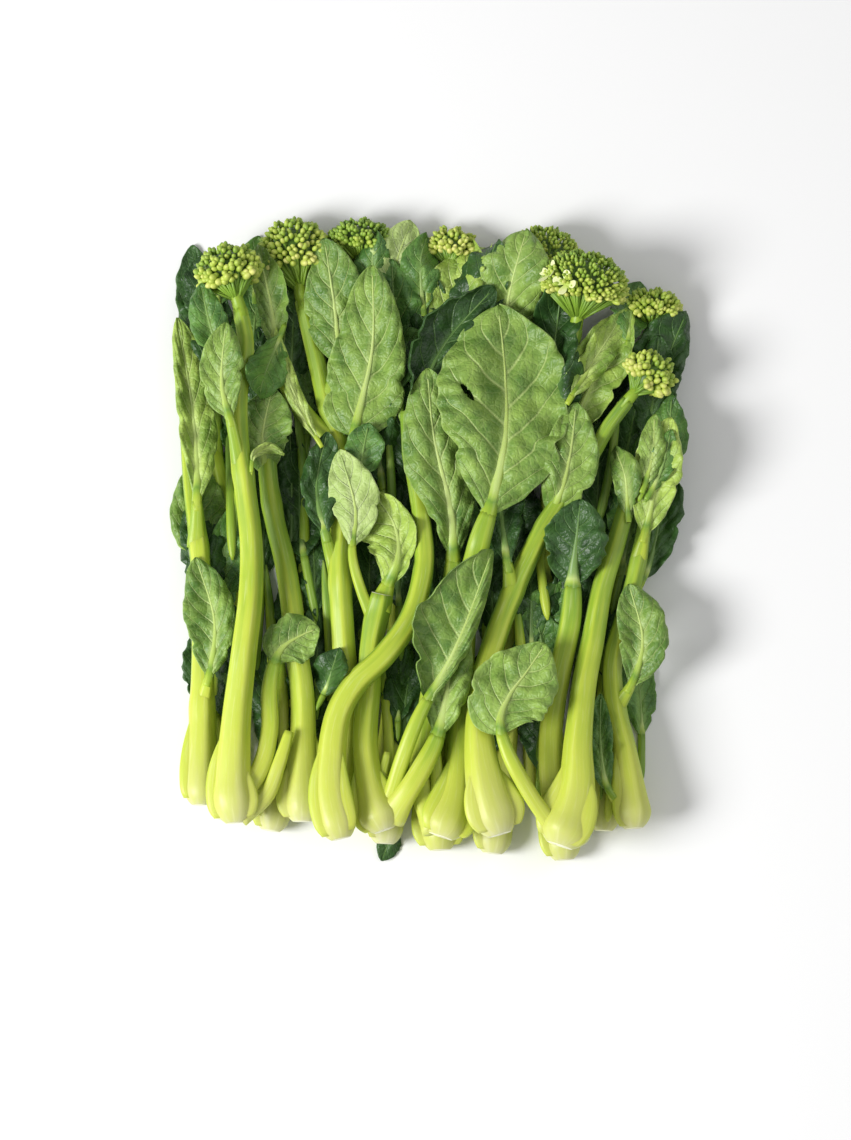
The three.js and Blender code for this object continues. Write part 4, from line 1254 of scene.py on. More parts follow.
    def _rolled(self, across: Array, left: Array, right: Array) -> tuple[Array, Array]:
        """Rolls the margins in.

        Args:
            across: Each point's distance from the midrib along the sheet.
            left: Each row's reach to the left.
            right: Each row's reach to the right.

        Returns:
            Each point's distance from the midrib in plan, and how far it is raised.
        """
        rolled, lift = across.copy(), np.zeros_like(across)
        sides = ((left, self.leaf.rolls[0], across > 0), (right, self.leaf.rolls[1], across < 0))
        for reach, roll, here in sides:
            if not roll:
                continue
            start = np.maximum(reach - roll * MM, 0.3 * reach)[:, None]
            turn = np.clip((np.abs(across) - start) / BLADE.roll_radius, 0, BLADE.roll_turn)
            curled = start + BLADE.roll_radius * np.sin(turn)
            rolled = np.where(here & (turn > 0), np.sign(across) * curled, rolled)
            lift = np.where(here, BLADE.roll_radius * (1 - np.cos(turn)), lift)
        return rolled, lift

    def _relief(self, share: Array, fraction: Array, plan: Array) -> Array:
        """Returns how far the sheet rises between its veins, crinkles and ruffles at its margin."""
        out = np.abs(fraction)[None, :]
        phase = vein_phase(share[:, None], fraction[None, :])
        puff = np.abs(np.sin(math.pi * (phase + 0.5))) ** 0.7 * np.sin(math.pi * np.clip(out, 0, 1)) ** 0.6
        ends = np.sin(math.pi * np.clip(share, 0.02, 0.98))[:, None] ** 0.5
        slow, quick = (math.tau * self.length / BLADE.ruffle_length * turns for turns in self.RUFFLES)
        side = np.sign(fraction)[None, :]
        wave = np.sin(slow * share[:, None] + self.seed + 2 * side)
        wave = wave + 0.6 * np.sin(quick * share[:, None] + 3 * self.seed - side)
        ruffle = wave * np.clip((out - self.RUFFLED) / (1 - self.RUFFLED), 0, 1) ** 1.6
        rough = np.array([
            [noise.noise(Vector((x, y, self.seed))) for x, y in row] for row in plan / BLADE.crinkle_length
        ])
        spread = np.clip(out / 0.25, 0, 1)
        on_rib = self.SWINGS[1] * share[:, None] + self.seed * 1.7 + 2.2 * side
        swing = np.sin(self.SWINGS[0] * out + on_rib) - np.sin(on_rib)
        texture = self.texture
        small = texture.puff * puff + texture.ruffle * ruffle * 0.6 + texture.crinkle * 1.6 * rough * spread
        return ends * (MM * small + texture.swing * max(self.leaf.reach) * MM * swing)

    def _add_rib(self, share: Array) -> None:
        """Adds the midrib, which goes on from the stalk and tapers to the tip."""
        last = max(4, int(len(share) * BLADE.rib_share))
        distance = self.stalk.end + share[:last] * self.length
        early = distance[0] - np.array(self.EARLY) * MM
        distance = np.concatenate([early, distance])
        height = np.concatenate([[self.stalk.height] * len(early), self.rib_heights[:last]])
        along = np.concatenate([np.zeros(len(early)), share[:last]])
        slim = BLADE.rib_tip
        deep = slim * self.RIB_DEEPER
        width = slim + (self.stalk.width - slim) * (1 - along) ** self.RIB_TAPERS[0]
        depth = deep + (self.stalk.width * STEM.stalk_flatness - deep) * (1 - along) ** self.RIB_TAPERS[1]
        for size in (width, depth):
            size[: len(self.NARROWED)] *= self.NARROWED
        height = smoothed(height, self.RIB_ROUNDS[0])
        spine = Spine(self.stalk.route, distance, height, width, depth)
        near, far = RIB_TONES[self.leaf.look]
        tone = np.where(along < 0.06, STALK_TONES[self.leaf.look], near + (far - near) * along)
        tone = smoothed(tone, self.RIB_ROUNDS[1])
        add_tube(self.maker, spine, BLADE.rib_sides, grooved(self.seed, 0.1), tone, (2, 2))

    def _tear_ways(self) -> tuple[Array, Array, Array]:
        """Returns the middle of the tear and the ways along its length and its width."""
        share, fraction = self.leaf.tear
        distance = self.stalk.end + share * self.length
        way, side = self.stalk.route.way(distance), self.stalk.route.left(distance)
        middle = self.stalk.route.place(distance) + side * fraction * self.leaf.reach[0] * MM
        turn, rise = math.cos(self.TEAR_LEAN), math.sin(self.TEAR_LEAN)
        return middle, way * turn + side * rise, side * turn - way * rise

    def _from_tear(self, plan: Array) -> Array:
        """Returns points as seen from the middle of the tear, in shares of its length and width."""
        middle, long_way, wide_way = self._tear_ways()
        off = plan - middle
        length, width = self.TEAR
        return np.stack([off @ long_way / length, off @ wide_way / width], axis=-1)

    def _opened(self, plan: Array) -> Array:
        """Moves the points near the rim of the tear onto it."""
        if self.leaf.tear is None:
            return plan
        _, long_way, wide_way = self._tear_ways()
        seen = self._from_tear(plan)
        far = np.linalg.norm(seen, axis=-1, keepdims=True)
        near = (far > self.TEAR_RIM[0]) & (far < self.TEAR_RIM[1])
        shift = seen * (1 / np.maximum(far, 0.1) - 1)
        length, width = self.TEAR
        moved = shift[..., :1] * length * long_way + shift[..., 1:] * width * wide_way
        return plan + np.where(near, moved, 0)

    def _tear_out(self, made: list[bmesh.types.BMVert]) -> None:
        """Takes out the faces that lie in the blade's tear."""
        if self.leaf.tear is None:
            return
        faces = list({face for vertex in made for face in vertex.link_faces})
        centres = np.array([tuple(face.calc_center_median()) for face in faces])[:, :2]
        inside = np.linalg.norm(self._from_tear(centres), axis=-1) < 1
        gone = [face for face, lies_inside in zip(faces, inside) if lies_inside]
        bmesh.ops.delete(self.maker.bm, geom=gone, context="FACES")

    def make(self, slot: str, nodes: Sequence[str]) -> bpy.types.Object:
        """Makes the object.

        Args:
            slot: The record's material slot.
            nodes: The CAD nodes that it replaces.

        Returns:
            The finished object.
        """
        maker = self.maker
        points, share, fraction, across = self._sheet()
        rows, columns = len(share), len(fraction)
        offset = self.draw.uniform(0, 5)
        age = self.draw.uniform(0, 1)

        def lay(column: Array, row: Array) -> Laid:
            """Lays out the sheet's vertices."""
            along = share[row] * self.length / Maker.DECIMETRE + offset
            grain = np.column_stack([along, across[row, column] / Maker.DECIMETRE])
            form = np.column_stack([share[row], (fraction[column] + 1) / 2])
            return Laid(points[row, column], grain, form, np.full(len(row), age))

        made = maker.add_grid(columns - 1, rows - 1, lay, 0)
        self._tear_out(made)
        faces = list({face for vertex in made if vertex.is_valid for face in vertex.link_faces})
        turned = [face for face in faces if face.normal.z < 0]
        if len(turned) > len(faces) / 2:
            bmesh.ops.reverse_faces(maker.bm, faces=faces)
        thick = bmesh.ops.solidify(maker.bm, geom=faces, thickness=BLADE.thickness)
        for face in thick["geom"]:
            if isinstance(face, bmesh.types.BMFace):
                face.material_index = 1
                face.smooth = True
        self._add_rib(share)
        upper, under = self.finishes.leaf[self.leaf.look]
        if self.leaf.face is Face.UNDER:
            upper, under = under, upper
        return maker.finish(self.name, (upper, under, self.finishes.stem), slot, nodes)




class Layer(Enum):
    """Where in the bunch a loose leaf lies."""

    UNDER = "under every plant"
    BETWEEN = "on the back plants"
    OVER = "on every plant"


@dataclass(frozen=True)
class LooseLeaf(LeafPlan):
    """A leaf whose plant is hidden: its plan and its layer. Most are dark, which paints the shade in the
    bunch's gaps into their colour.
    """

    # dark by default: partly real dark leaves, partly painted shade in the gaps between the plants
    look: Look = Look.DARK
    layer: Layer = Layer.BETWEEN


LOOSE_LEAVES: tuple[LooseLeaf, ...] = (
    LooseLeaf(((-54, -49), (-52, -25), (-51, 0), (-50, 31)), 2.6, 42, (6.5, 6.5)),
    LooseLeaf(((-63, -37), (-66, -18), (-69, -2), (-73, 14)), 2.6, 34, (8, 7)),
    LooseLeaf(((-66, -71), (-67, -49), (-70, -25)), 2.4, 28, (8, 6.5)),
    LooseLeaf(((-60, 0), (-58, 25), (-57, 51)), 2.4, 32, (6.5, 6.5), Look.SMALL),
    LooseLeaf(((-29, -71), (-30, -51), (-34, -29)), 2.4, 26, (7, 7)),
    LooseLeaf(((-23, -55), (-24, -31), (-25, -6)), 2.6, 32, (8, 7.5)),
    LooseLeaf(((-34, -25), (-39, 3), (-40, 31)), 2.6, 36, (9, 9)),
    LooseLeaf(((-8, -37), (-9, -9), (-11, 22)), 2.6, 42, (10, 9)),
    LooseLeaf(((4, -37), (6, -14), (4, 12)), 2.6, 34, (10, 9)),
    LooseLeaf(((18, -37), (18, -15), (16, 6)), 2.6, 28, (9, 9)),
    LooseLeaf(((-3, 12), (-5, 37), (-2, 65)), 2.8, 44, (12, 11)),
    LooseLeaf(((34, -68), (37, -46), (33, -20)), 2.6, 30, (9, 8), Look.SMALL),
    LooseLeaf(((45, -55), (47, -31), (44, -6)), 2.6, 32, (8.5, 8.5)),
    LooseLeaf(((54, -55), (57, -34), (60, -9)), 2.6, 34, (9, 8)),
    LooseLeaf(((57, -22), (63, 6), (66, 34)), 2.6, 42, (8, 7), Look.SMALL),
    LooseLeaf(((50, 15), (53, 40), (55, 66)), 2.6, 40, (9, 9), layer=Layer.UNDER),
    LooseLeaf(((66, 18), (70, 43), (72, 65)), 2.4, 32, (7.5, 6.5)),
    LooseLeaf(((-24, 31), (-30, 52), (-34, 75)), 2.6, 38, (9, 8)),
    LooseLeaf(((-54, 28), (-51, 48), (-53, 69)), 2.4, 30, (7.5, 7.5)),
    LooseLeaf(((13, 62), (16, 78), (22, 94)), 2.6, 32, (9, 9)),
    LooseLeaf(((-39, -52), (-40, -29), (-43, -8)), 2.4, 28, (6.5, 6.5)),
    LooseLeaf(((66, -74), (66, -52), (64, -31)), 2.4, 28, (6, 5.5), Look.SMALL),
    LooseLeaf(((9, -74), (8, -52), (6, -31)), 2.2, 26, (5, 5), Look.SMALL),
    LooseLeaf(((53, -80), (53, -60), (51, -38)), 2.2, 28, (5.5, 5.5)),
    LooseLeaf(((24, -25), (27, -3), (24, 18)), 2.6, 30, (9, 8)),
    LooseLeaf(((-13, 12), (-16, 31), (-23, 48)), 2.6, 30, (9, 8)),
    LooseLeaf(((-70, 34), (-68, 52), (-66, 74)), 2.4, 32, (7, 7)),
    LooseLeaf(((65, 11), (69, 24), (70, 38)), 2.2, 22, (4.5, 4), Look.FRESH, layer=Layer.OVER),
    LooseLeaf(((67, 11), (72, 21), (75, 33)), 2.0, 20, (4, 3.5), Look.SMALL, layer=Layer.OVER),
    LooseLeaf(((62, 5), (61, 18), (58, 29)), 2.0, 22, (4, 4.5), Look.FRESH, layer=Layer.OVER),
    LooseLeaf(((-34, -53), (-30, -44), (-27, -34)), 2.0, 15, (6, 5), layer=Layer.OVER),
    LooseLeaf(((-46, -77), (-48, -55), (-49, -31)), 2.4, 36, (7, 7)),
    LooseLeaf(((-58, -68), (-62, -46), (-61, -18)), 2.4, 38, (7, 7)),
    LooseLeaf(((-34, -80), (-35, -62), (-36, -40)), 2.4, 30, (6, 6)),
    LooseLeaf(((34, -80), (35, -62), (32, -37)), 2.4, 34, (7, 7)),
    LooseLeaf(((19, -77), (18, -58), (16, -34)), 2.4, 34, (7, 7)),
    LooseLeaf(((-5, -77), (-7, -55), (-4, -31)), 2.4, 34, (7, 7)),
    LooseLeaf(((-39, 22), (-37, 43), (-40, 65)), 2.4, 30, (6, 6), Look.SMALL),
    LooseLeaf(((41, 22), (40, 43), (41, 65)), 2.4, 34, (8, 8)),
    LooseLeaf(((-8, 37), (-10, 62), (-11, 89)), 2.4, 42, (9, 9), Look.SMALL),
    LooseLeaf(((4, 43), (7, 71), (14, 96)), 2.4, 44, (8.5, 9), Look.LIGHT),
    LooseLeaf(((-1, 37), (-1, 62), (2, 84)), 2.4, 38, (9, 9)),
    LooseLeaf(((-43, -18), (-42, 12), (-43, 39)), 2.2, 46, (6.5, 6.5)),
    LooseLeaf(((37, 43), (40, 65), (42, 81)), 2.2, 32, (8, 8)),
    LooseLeaf(((-39, 65), (-36, 83), (-33, 99)), 2.2, 30, (9, 9), Look.SMALL),
    LooseLeaf(((59, 12), (63, 34), (66, 49)), 2.2, 32, (7, 7)),
    LooseLeaf(((-44, 43), (-42, 68), (-42, 86)), 2.2, 36, (7.5, 7.5)),
    LooseLeaf(((-18, -31), (-18, -9), (-17, 6)), 2.2, 30, (6.5, 6.5)),
    LooseLeaf(((21, -43), (20, -15), (20, 3)), 2.2, 36, (6.5, 6.5)),
    LooseLeaf(((-54, 49), (-54, 71), (-52, 86)), 2.2, 30, (7, 7), Look.SMALL),
    LooseLeaf(((52, -6), (53, 18), (54, 37)), 2.2, 36, (7, 7)),
    LooseLeaf(((3, -31), (3, -6), (2, 12)), 2.2, 34, (6, 6)),
    LooseLeaf(((-65, 71), (-66, 83), (-67, 94)), 2.0, 18, (6, 6), Look.SMALL),
    LooseLeaf(((29, -18), (29, 6), (30, 22)), 2.2, 34, (6.5, 6.5)),
    LooseLeaf(((62, 58), (64, 75), (67, 84)), 2.0, 22, (7, 7), Look.SMALL),
    LooseLeaf(((-9, -62), (-9, -43), (-9, -28)), 2.0, 28, (6, 6)),
    LooseLeaf(((50, -46), (50, -18), (49, 0)), 2.2, 36, (6, 6)),
    LooseLeaf(((-34, -55), (-34, -34), (-34, -18)), 2.0, 28, (5, 5)),
    LooseLeaf(((-35, -31), (-35, -6), (-36, 9)), 2.0, 32, (5.5, 5.5)),
    LooseLeaf(((32, -43), (32, -15), (32, -2)), 2.0, 32, (5.5, 5.5)),
    LooseLeaf(
        ((-44, 69), (-47, 61), (-50, 52), (-52, 44)),
        2.0, 22, (6.5, 6), Look.SMALL, widest=0.6, layer=Layer.OVER,
    ),
    LooseLeaf(
        ((-32, 28), (-37, 37), (-42, 48), (-46, 60), (-47, 67)),
        1.6, 38, (2.6, 2.8), Look.LIGHT, layer=Layer.OVER,
    ),
    LooseLeaf(
        ((-54, 18), (-53, 25), (-48, 28), (-44, 26)), 1.4, 13, (1.7, 1.5), Look.LIGHT, layer=Layer.OVER
    ),
    LooseLeaf(((43, 41), (50, 53), (56, 63), (62, 73)), 2.0, 34, (4, 5), Look.LIGHT, layer=Layer.OVER),
    LooseLeaf(((9, 71), (13, 88), (20, 94)), 2.0, 24, (6.5, 6), Look.LIGHT),
    LooseLeaf(((-1, 71), (-2, 88), (0, 98)), 2.0, 28, (6, 6), Look.SMALL),
    LooseLeaf(((-16, 71), (-17, 88), (-16, 98)), 2.0, 28, (6, 6), Look.SMALL),
    LooseLeaf(((-54, 77), (-54, 91), (-53, 99)), 2.0, 22, (5.5, 5.5), Look.SMALL),
    LooseLeaf(((-35, 77), (-35, 91), (-34, 101)), 2.0, 26, (6, 6), Look.FRESH),
    LooseLeaf(((-71, 68), (-71, 83), (-70, 93)), 2.0, 22, (6, 6)),
    LooseLeaf(((-9, -84), (-11, -90), (-14, -98)), 2.0, 11, (4, 3.4), layer=Layer.UNDER),
)


LOOSE_STALKS: tuple[ShootPlan, ...] = (
    ShootPlan(((-51, -85), (-48, -62), (-48, -31), (-50, -6)), (4.2, 3)),
    ShootPlan(((-45, -80), (-44, -58), (-45, -34)), (3.6, 3)),
    ShootPlan(((-63, -80), (-65, -55), (-66, -25)), (3.8, 3)),
    ShootPlan(((-30, -80), (-29, -58), (-30, -31), (-32, -6)), (4.2, 3)),
    ShootPlan(((-19, -86), (-17, -62), (-19, -34), (-23, -15)), (4, 3)),
    ShootPlan(((-11, -80), (-12, -58), (-14, -37)), (3.6, 2.8)),
    ShootPlan(((-2, -88), (0, -65), (4, -43), (6, -18)), (4.2, 3)),
    ShootPlan(((8, -90), (7, -68), (8, -46)), (3.6, 3)),
    ShootPlan(((13, -82), (14, -55), (17, -31)), (4, 3)),
    ShootPlan(((32, -82), (31, -58), (29, -37), (27, -15)), (4, 3)),
    ShootPlan(((50, -90), (52, -68), (54, -46), (56, -25)), (4.2, 3)),
    ShootPlan(((55, -87), (58, -65), (59, -46)), (3.4, 2.8)),
    ShootPlan(((-60, -6), (-61, 18), (-62, 43)), (3.2, 2.6)),
    ShootPlan(((-39, -25), (-38, 0), (-39, 28), (-42, 52)), (3.6, 2.6)),
    ShootPlan(((53, 6), (57, 25), (59, 43)), (3.2, 2.4)),
    ShootPlan(((-13, -6), (-11, 12), (-12, 34)), (3.2, 2.4)),
    ShootPlan(((37, -25), (35, -6), (37, 12)), (3.2, 2.4)),
)


class LooseLeafMaker:
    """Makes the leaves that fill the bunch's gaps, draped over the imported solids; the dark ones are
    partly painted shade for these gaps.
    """

    GAP = 0.5 * MM
    FLOOR_HEIGHT = 1.2 * MM
    RISE = 0.3  # a stalk's middle over what it lies on, over its width
    POINTED = 6 * MM  # over which a leaf's stalk starts from a point
    DIVE = 2 * MM  # how deep the start of a stalk on top goes down
    GROOVE = 0.12
    ROUNDS = 10
    ROUNDED = (0.2, 0.3)  # shares of a bare stalk over which its two ends are rounded
    BARE_FLATNESS = 0.85
    BUTTS_AT, LENGTHWISE = 0.095, 0.19  # metres from the middle to the butts, and from them to the heads

    def __init__(self, finishes: Finishes) -> None:
        """Builds the beds.

        Args:
            finishes: The scene's materials.
        """
        self.finishes = finishes
        names = [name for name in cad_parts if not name.endswith("_buds")]
        back = [name for name in names if name.startswith("back_")]
        self.lays: dict[Layer, Lay] = {
            Layer.UNDER: Level(self.FLOOR_HEIGHT),
            Layer.BETWEEN: Draped(Bed(back), self.GAP),
            Layer.OVER: Draped(Bed(names), self.GAP),
        }

    def make(self, number: int, leaf: LooseLeaf) -> None:
        """Makes one leaf with its stalk.

        Args:
            number: Its number, for its name.
            leaf: Its plan and layer.
        """
        route = Route(leaf.route)
        end = max(route.length - leaf.length * MM, STEM.least_stalk)
        lay = self.lays[leaf.layer]
        distance = np.linspace(0, end, max(STEM.least_steps, round(end / STEM.step)))
        height = lay.along(route, distance) + leaf.stalk * MM * self.RISE
        into = 1 - np.clip(distance / self.POINTED, 0, 1)
        height = height - self.DIVE * into**2 * (leaf.layer is Layer.OVER)
        width = leaf.stalk * MM * np.sqrt(1 - 0.95 * into**2)
        evened = smoothed(height, self.ROUNDS)
        spine = Spine(route, distance, evened, width, width * STEM.stalk_flatness)
        stalk = Stalk(route, end, float(height[-1]), leaf.stalk * MM)
        blade = BladeMaker(f"loose_leaf_{number}", leaf, lay, stalk, self.finishes)
        tone = np.full_like(distance, STALK_TONES[leaf.look])
        groove = grooved(float(number), self.GROOVE)
        add_tube(blade.maker, spine, STEM.stalk_sides // 2, groove, tone, (2, 2))
        blade.make(SLOTS[leaf.look], [])

    def make_stalks(self, shoots: Sequence[ShootPlan]) -> None:
        """Makes the bare stalks between the back plants and the front ones, as one piece.

        Args:
            shoots: The stalks in plan.
        """
        maker = Maker()
        draw = random.Random("loose stalks")
        for shoot in shoots:
            route = Route(shoot.route)
            distance = np.linspace(0, route.length, max(STEM.least_steps, round(route.length / STEM.step)))
            share = distance / route.length
            first, last = (width * MM for width in shoot.width)
            width = first + (last - first) * share
            near, far = self.ROUNDED
            rounding = np.clip(np.maximum((share - 1 + far) / far, (near - share) / near), 0, 0.98)
            width = width * np.sqrt(1 - rounding**2)
            height = smoothed(self.lays[Layer.BETWEEN].along(route, distance), self.ROUNDS) + first / 3
            spine = Spine(route, distance, height, width, width * self.BARE_FLATNESS)
            from_butts = (route.place(distance)[:, 1] + self.BUTTS_AT) / self.LENGTHWISE
            tone = np.clip(0.6 + 3.4 * from_butts, 0.4, 2.8) + draw.uniform(-0.2, 0.4)
            tone = tone + (3.0 - tone) * np.clip((share - 0.5) / 0.5, 0, 1) ** 2
            groove = grooved(draw.uniform(0, 6), self.GROOVE)
            add_tube(maker, spine, STEM.stalk_sides // 2, groove, tone, (0, 0))
        maker.finish("loose_stalks", (self.finishes.stem,), "stem", [])


@dataclass(frozen=True)
class HeadForm:
    """How a head of flower buds looks: open with round buds, or a dense dome."""

    buds: int
    bud: tuple[float, float]  # width at the crown and at the rim, in millimetres
    stretch: float  # a bud's length over its width
    ripeness: tuple[float, float]  # at the crown and at the rim
    spread: float  # degrees from the head's axis to its rim
    stalks: int
    flowers: int = 0


HEADS: Mapping[str, HeadForm] = {
    "front_2": HeadForm(240, (1.5, 2.5), 1.25, (0.25, 0.85), 122, 44),
    "middle": HeadForm(280, (1.5, 2.3), 1.35, (0.35, 0.95), 122, 50),
    "front_7": HeadForm(160, (1.6, 2.5), 1.3, (0.4, 0.95), 122, 36),
    "back_6": HeadForm(500, (1.1, 1.9), 1.75, (0.2, 0.8), 114, 60, flowers=2),
    "back_5": HeadForm(400, (1.1, 1.9), 1.7, (0.3, 0.9), 114, 50),
    "back_3": HeadForm(280, (1.3, 1.8), 1.4, (0.05, 0.4), 114, 40),
    "back_4": HeadForm(170, (1.4, 2.0), 1.4, (0.6, 1.0), 114, 30),
    "back_7": HeadForm(230, (1.4, 2.0), 1.5, (0.35, 0.85), 114, 36),
}


class HeadMaker:
    """Makes a head of flower buds at the top of a stem."""

    GOLDEN_TURN = math.pi * (3 - math.sqrt(5))
    FLATNESS = 0.78
    DOME_MIDDLE = 0.6  # share of the head's length
    PETALS, FLOWER_WIDTH = 4, 8 * MM
    NARROWING = (1.08, 0.28)  # of a bud, at its root and from there to its tip
    CORE = (0.74, 0.78)  # the dome's inside over the dome, across and deep
    # the core's low tone is painted shade: dark green for the depths between the buds
    CORE_TONE, STEM_TONE, STALK_TONE = -0.35, 2.5, 2.8
    STALK_WIDTHS = (1.0 * MM, 0.75 * MM)
    CLUMPED = 0.2  # how far a bud moves towards its clump's middle
    STRAYING, LEANING = 0.3, 0.35  # how far a bud strays, over a crown bud's width, and how far it leans
    TILT = 0.85  # a bud's angle from the head's axis over its place's
    SIZES, RIPER = (0.82, 1.12), (-0.3, 0.2)  # spread of the buds' widths and of their ripeness
    ALL_STALKS = 0.6  # share of the buds after which each has a stalk in sight
    STAND_OUT = (0.9, 4.5)  # millimetres that a clump's middle bud stands out, and lost towards its rim

    def __init__(self, plan: PlantPlan, top: Array, finishes: Finishes) -> None:
        """Sets up the head's frame.

        Args:
            plan: The plant in plan.
            top: The place of the middle of the stem's top.
            finishes: The scene's materials.
        """
        self.plan = plan
        self.form = HEADS[plan.name]
        self.finishes = finishes
        self.draw = random.Random(f"{plan.name} head")
        self.node = f"{plan.name}_buds"
        self.base = Vector(top)
        self.way, self.length = self._axis()
        self.side = self.way.cross(UP).normalized()
        self.up = self.side.cross(self.way)
        self.radius = plan.head.width * MM / 2
        self.deep = self.length * (1 - self.DOME_MIDDLE)
        self.middle = self.base + self.way * (self.length * self.DOME_MIDDLE)
        self.stem = plan.width[2] * MM
        self.maker = Maker()

    def _axis(self) -> tuple[Vector, float]:
        """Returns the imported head's direction and its length from the stem's top."""
        x, y = (np.array(self.plan.head.tip) + MIDDLE_SHIFT) * MM
        level = Vector((x - self.base.x, y - self.base.y, 0))
        low, high = (Vector(corner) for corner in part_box(self.node))
        middle = level * self.DOME_MIDDLE
        middle.z = (low.z + high.z) / 2 - self.base.z
        way = middle.normalized()
        return way, level.length / math.hypot(way.x, way.y)

    def _turned(self, along: Vector) -> Matrix:
        """Returns the turn that brings the z axis to a direction."""
        return along.to_track_quat("Z", "Y").to_matrix().to_4x4()

    def _direction(self, polar: float, round_it: float) -> Vector:
        """Returns a direction by its angle from the head's axis and its angle round it."""
        across = self.side * math.cos(round_it) + self.up * math.sin(round_it)
        return self.way * math.cos(polar) + across * math.sin(polar)

    def _on_dome(self, polar: float, round_it: float) -> Vector:
        """Returns a point of the dome."""
        across = self.side * math.cos(round_it) + self.up * (math.sin(round_it) * self.FLATNESS)
        outwards = self.way * (math.cos(polar) * self.deep)
        return self.middle + outwards + across * (math.sin(polar) * self.radius)

    def _polar(self, share: float) -> float:
        """Returns the angle from the head's axis within which a share of the dome lies."""
        return math.acos(1 - share * (1 - math.cos(math.radians(self.form.spread))))

    def _clumps(self) -> list[Vector]:
        """Returns the middles of the clumps that the buds stand in, spread over the dome."""
        count = max(9, self.form.buds // 9)
        return [
            self._on_dome(self._polar((i + 0.5) / count), i * self.GOLDEN_TURN + 0.6) for i in range(count)
        ]

    def _ball(self, fineness: int, material: int, tone: float) -> list[bmesh.types.BMVert]:
        """Returns the vertices of a new ball about the origin, 1 m in radius."""
        made = bmesh.ops.create_icosphere(self.maker.bm, subdivisions=fineness, radius=1)["verts"]
        self.maker.shade(made, material, tone)
        return made

    def _stray(self, most: float) -> Vector:
        """Returns a random vector with no number beyond the most."""
        return Vector([self.draw.uniform(-most, most) for _ in range(3)])

    def _add_bud(self, place: Vector, along: Vector, width: float, ripeness: float) -> None:
        """Adds one bud: an egg with its narrow end outwards."""
        size = Matrix.Diagonal((width / 2, width / 2, width / 2 * self.form.stretch, 1))
        seat = Matrix.Translation(place) @ self._turned(along) @ size
        made = self._ball(2, 0, ripeness)
        for vertex in made:
            share = (vertex.co.z + 1) / 2
            # paler towards the tip: partly the bud's own colour, partly a painted highlight
            vertex[self.maker.tone] = ripeness + 0.3 * share**2
            narrow = self.NARROWING[0] - self.NARROWING[1] * share
            vertex.co.x *= narrow
            vertex.co.y *= narrow
        bmesh.ops.transform(self.maker.bm, matrix=seat, verts=made)

    def _add_stalk(self, start: Vector, end: Vector, width: tuple[float, float], tone: float) -> None:
        """Adds one straight flower stalk."""
        along = end - start
        seat = Matrix.Translation((start + end) / 2) @ self._turned(along)
        made = bmesh.ops.create_cone(
            self.maker.bm,
            cap_ends=True,
            segments=9,
            radius1=width[0] / 2,
            radius2=width[1] / 2,
            depth=along.length,
            matrix=seat,
        )["verts"]
        self.maker.shade(made, 1, tone)

    def _add_core(self) -> None:
        """Adds the stem's last stretch and the dome's inside, which the flower stalks hide; the inside is
        dark green as painted shade between the buds.
        """
        middle = self.base + self.way * (self.length * 0.5)
        sunk = self.base - self.way * STEM.overlap
        self._add_stalk(sunk, middle, (self.stem * 0.88, self.stem * 0.7), self.STEM_TONE)
        wide = self.radius * self.CORE[0]
        size = Matrix.Diagonal((wide, wide * self.FLATNESS, self.deep * self.CORE[1], 1))
        turn = Matrix((self.side, self.up, self.way)).transposed().to_4x4()
        seat = Matrix.Translation(self.middle) @ turn @ size
        bmesh.ops.transform(self.maker.bm, matrix=seat, verts=self._ball(3, 0, self.CORE_TONE))

    def _add_flower(self, place: Vector, along: Vector, width: float) -> None:
        """Adds an open flower of four petals."""
        turn = self._turned(along)
        for petal in range(self.PETALS):
            angle = math.tau * petal / self.PETALS + self.draw.uniform(-0.15, 0.15)
            made = self._ball(3, 2, 1.0)
            for vertex in made:
                out = vertex.co.x + 1
                vertex[self.maker.tone] = out / 2
                vertex.co.z = vertex.co.z * 0.09 + 0.22 * out**2 + 0.12 * vertex.co.y**2
                vertex.co.y *= 0.32 + 0.28 * out
                vertex.co.x = out
            size = Matrix.Scale(width / 4, 4)
            seat = Matrix.Translation(place) @ turn @ Matrix.Rotation(angle, 4, "Z") @ size
            bmesh.ops.transform(self.maker.bm, matrix=seat, verts=made)

    def make(self) -> bpy.types.Object:
        """Makes the object."""
        form = self.form
        self._add_core()
        every = max(1, form.buds // form.stalks)
        clumps = self._clumps()
        for i in range(form.buds):
            share = (i + 0.5) / form.buds
            polar = self._polar(share)
            round_it = i * self.GOLDEN_TURN
            place = self._on_dome(polar, round_it)
            along = self._direction(polar * self.TILT, round_it)
            clump = min(clumps, key=lambda middle: (middle - place).length)
            apart = (clump - place).length / self.radius
            out = self.STAND_OUT[0] - self.STAND_OUT[1] * apart
            place = place.lerp(clump, self.CLUMPED) + along * (out * MM)
            place += self._stray(form.bud[0] * self.STRAYING * MM)
            along = (along + self._stray(self.LEANING)).normalized()
            width = (form.bud[0] + (form.bud[1] - form.bud[0]) * share**1.5) * MM
            width *= self.draw.uniform(*self.SIZES)
            ripe = form.ripeness[0] + (form.ripeness[1] - form.ripeness[0]) * share**1.2
            self._add_bud(place, along, width, ripe + self.draw.uniform(*self.RIPER))
            if i % every == 0 or share > self.ALL_STALKS:
                root = self.base + self.way * (self.length * (0.1 + 0.3 * (1 - share)))
                root += (place - root).cross(self.way).normalized() * self.draw.uniform(-0.4, 0.4) * MM
                self._add_stalk(root, place - along * (width * 0.45), self.STALK_WIDTHS, self.STALK_TONE)
        for i in range(form.flowers):
            polar = math.radians(80 + 12 * i)
            round_it = math.radians(150 - 35 * i)
            place = self._on_dome(polar, round_it)
            self._add_flower(place, self._direction(polar * 0.8, round_it), self.FLOWER_WIDTH)
        finishes = (self.finishes.buds, self.finishes.stem, self.finishes.petals)
        return self.maker.finish(f"{self.node}_live", finishes, "buds", [self.node])


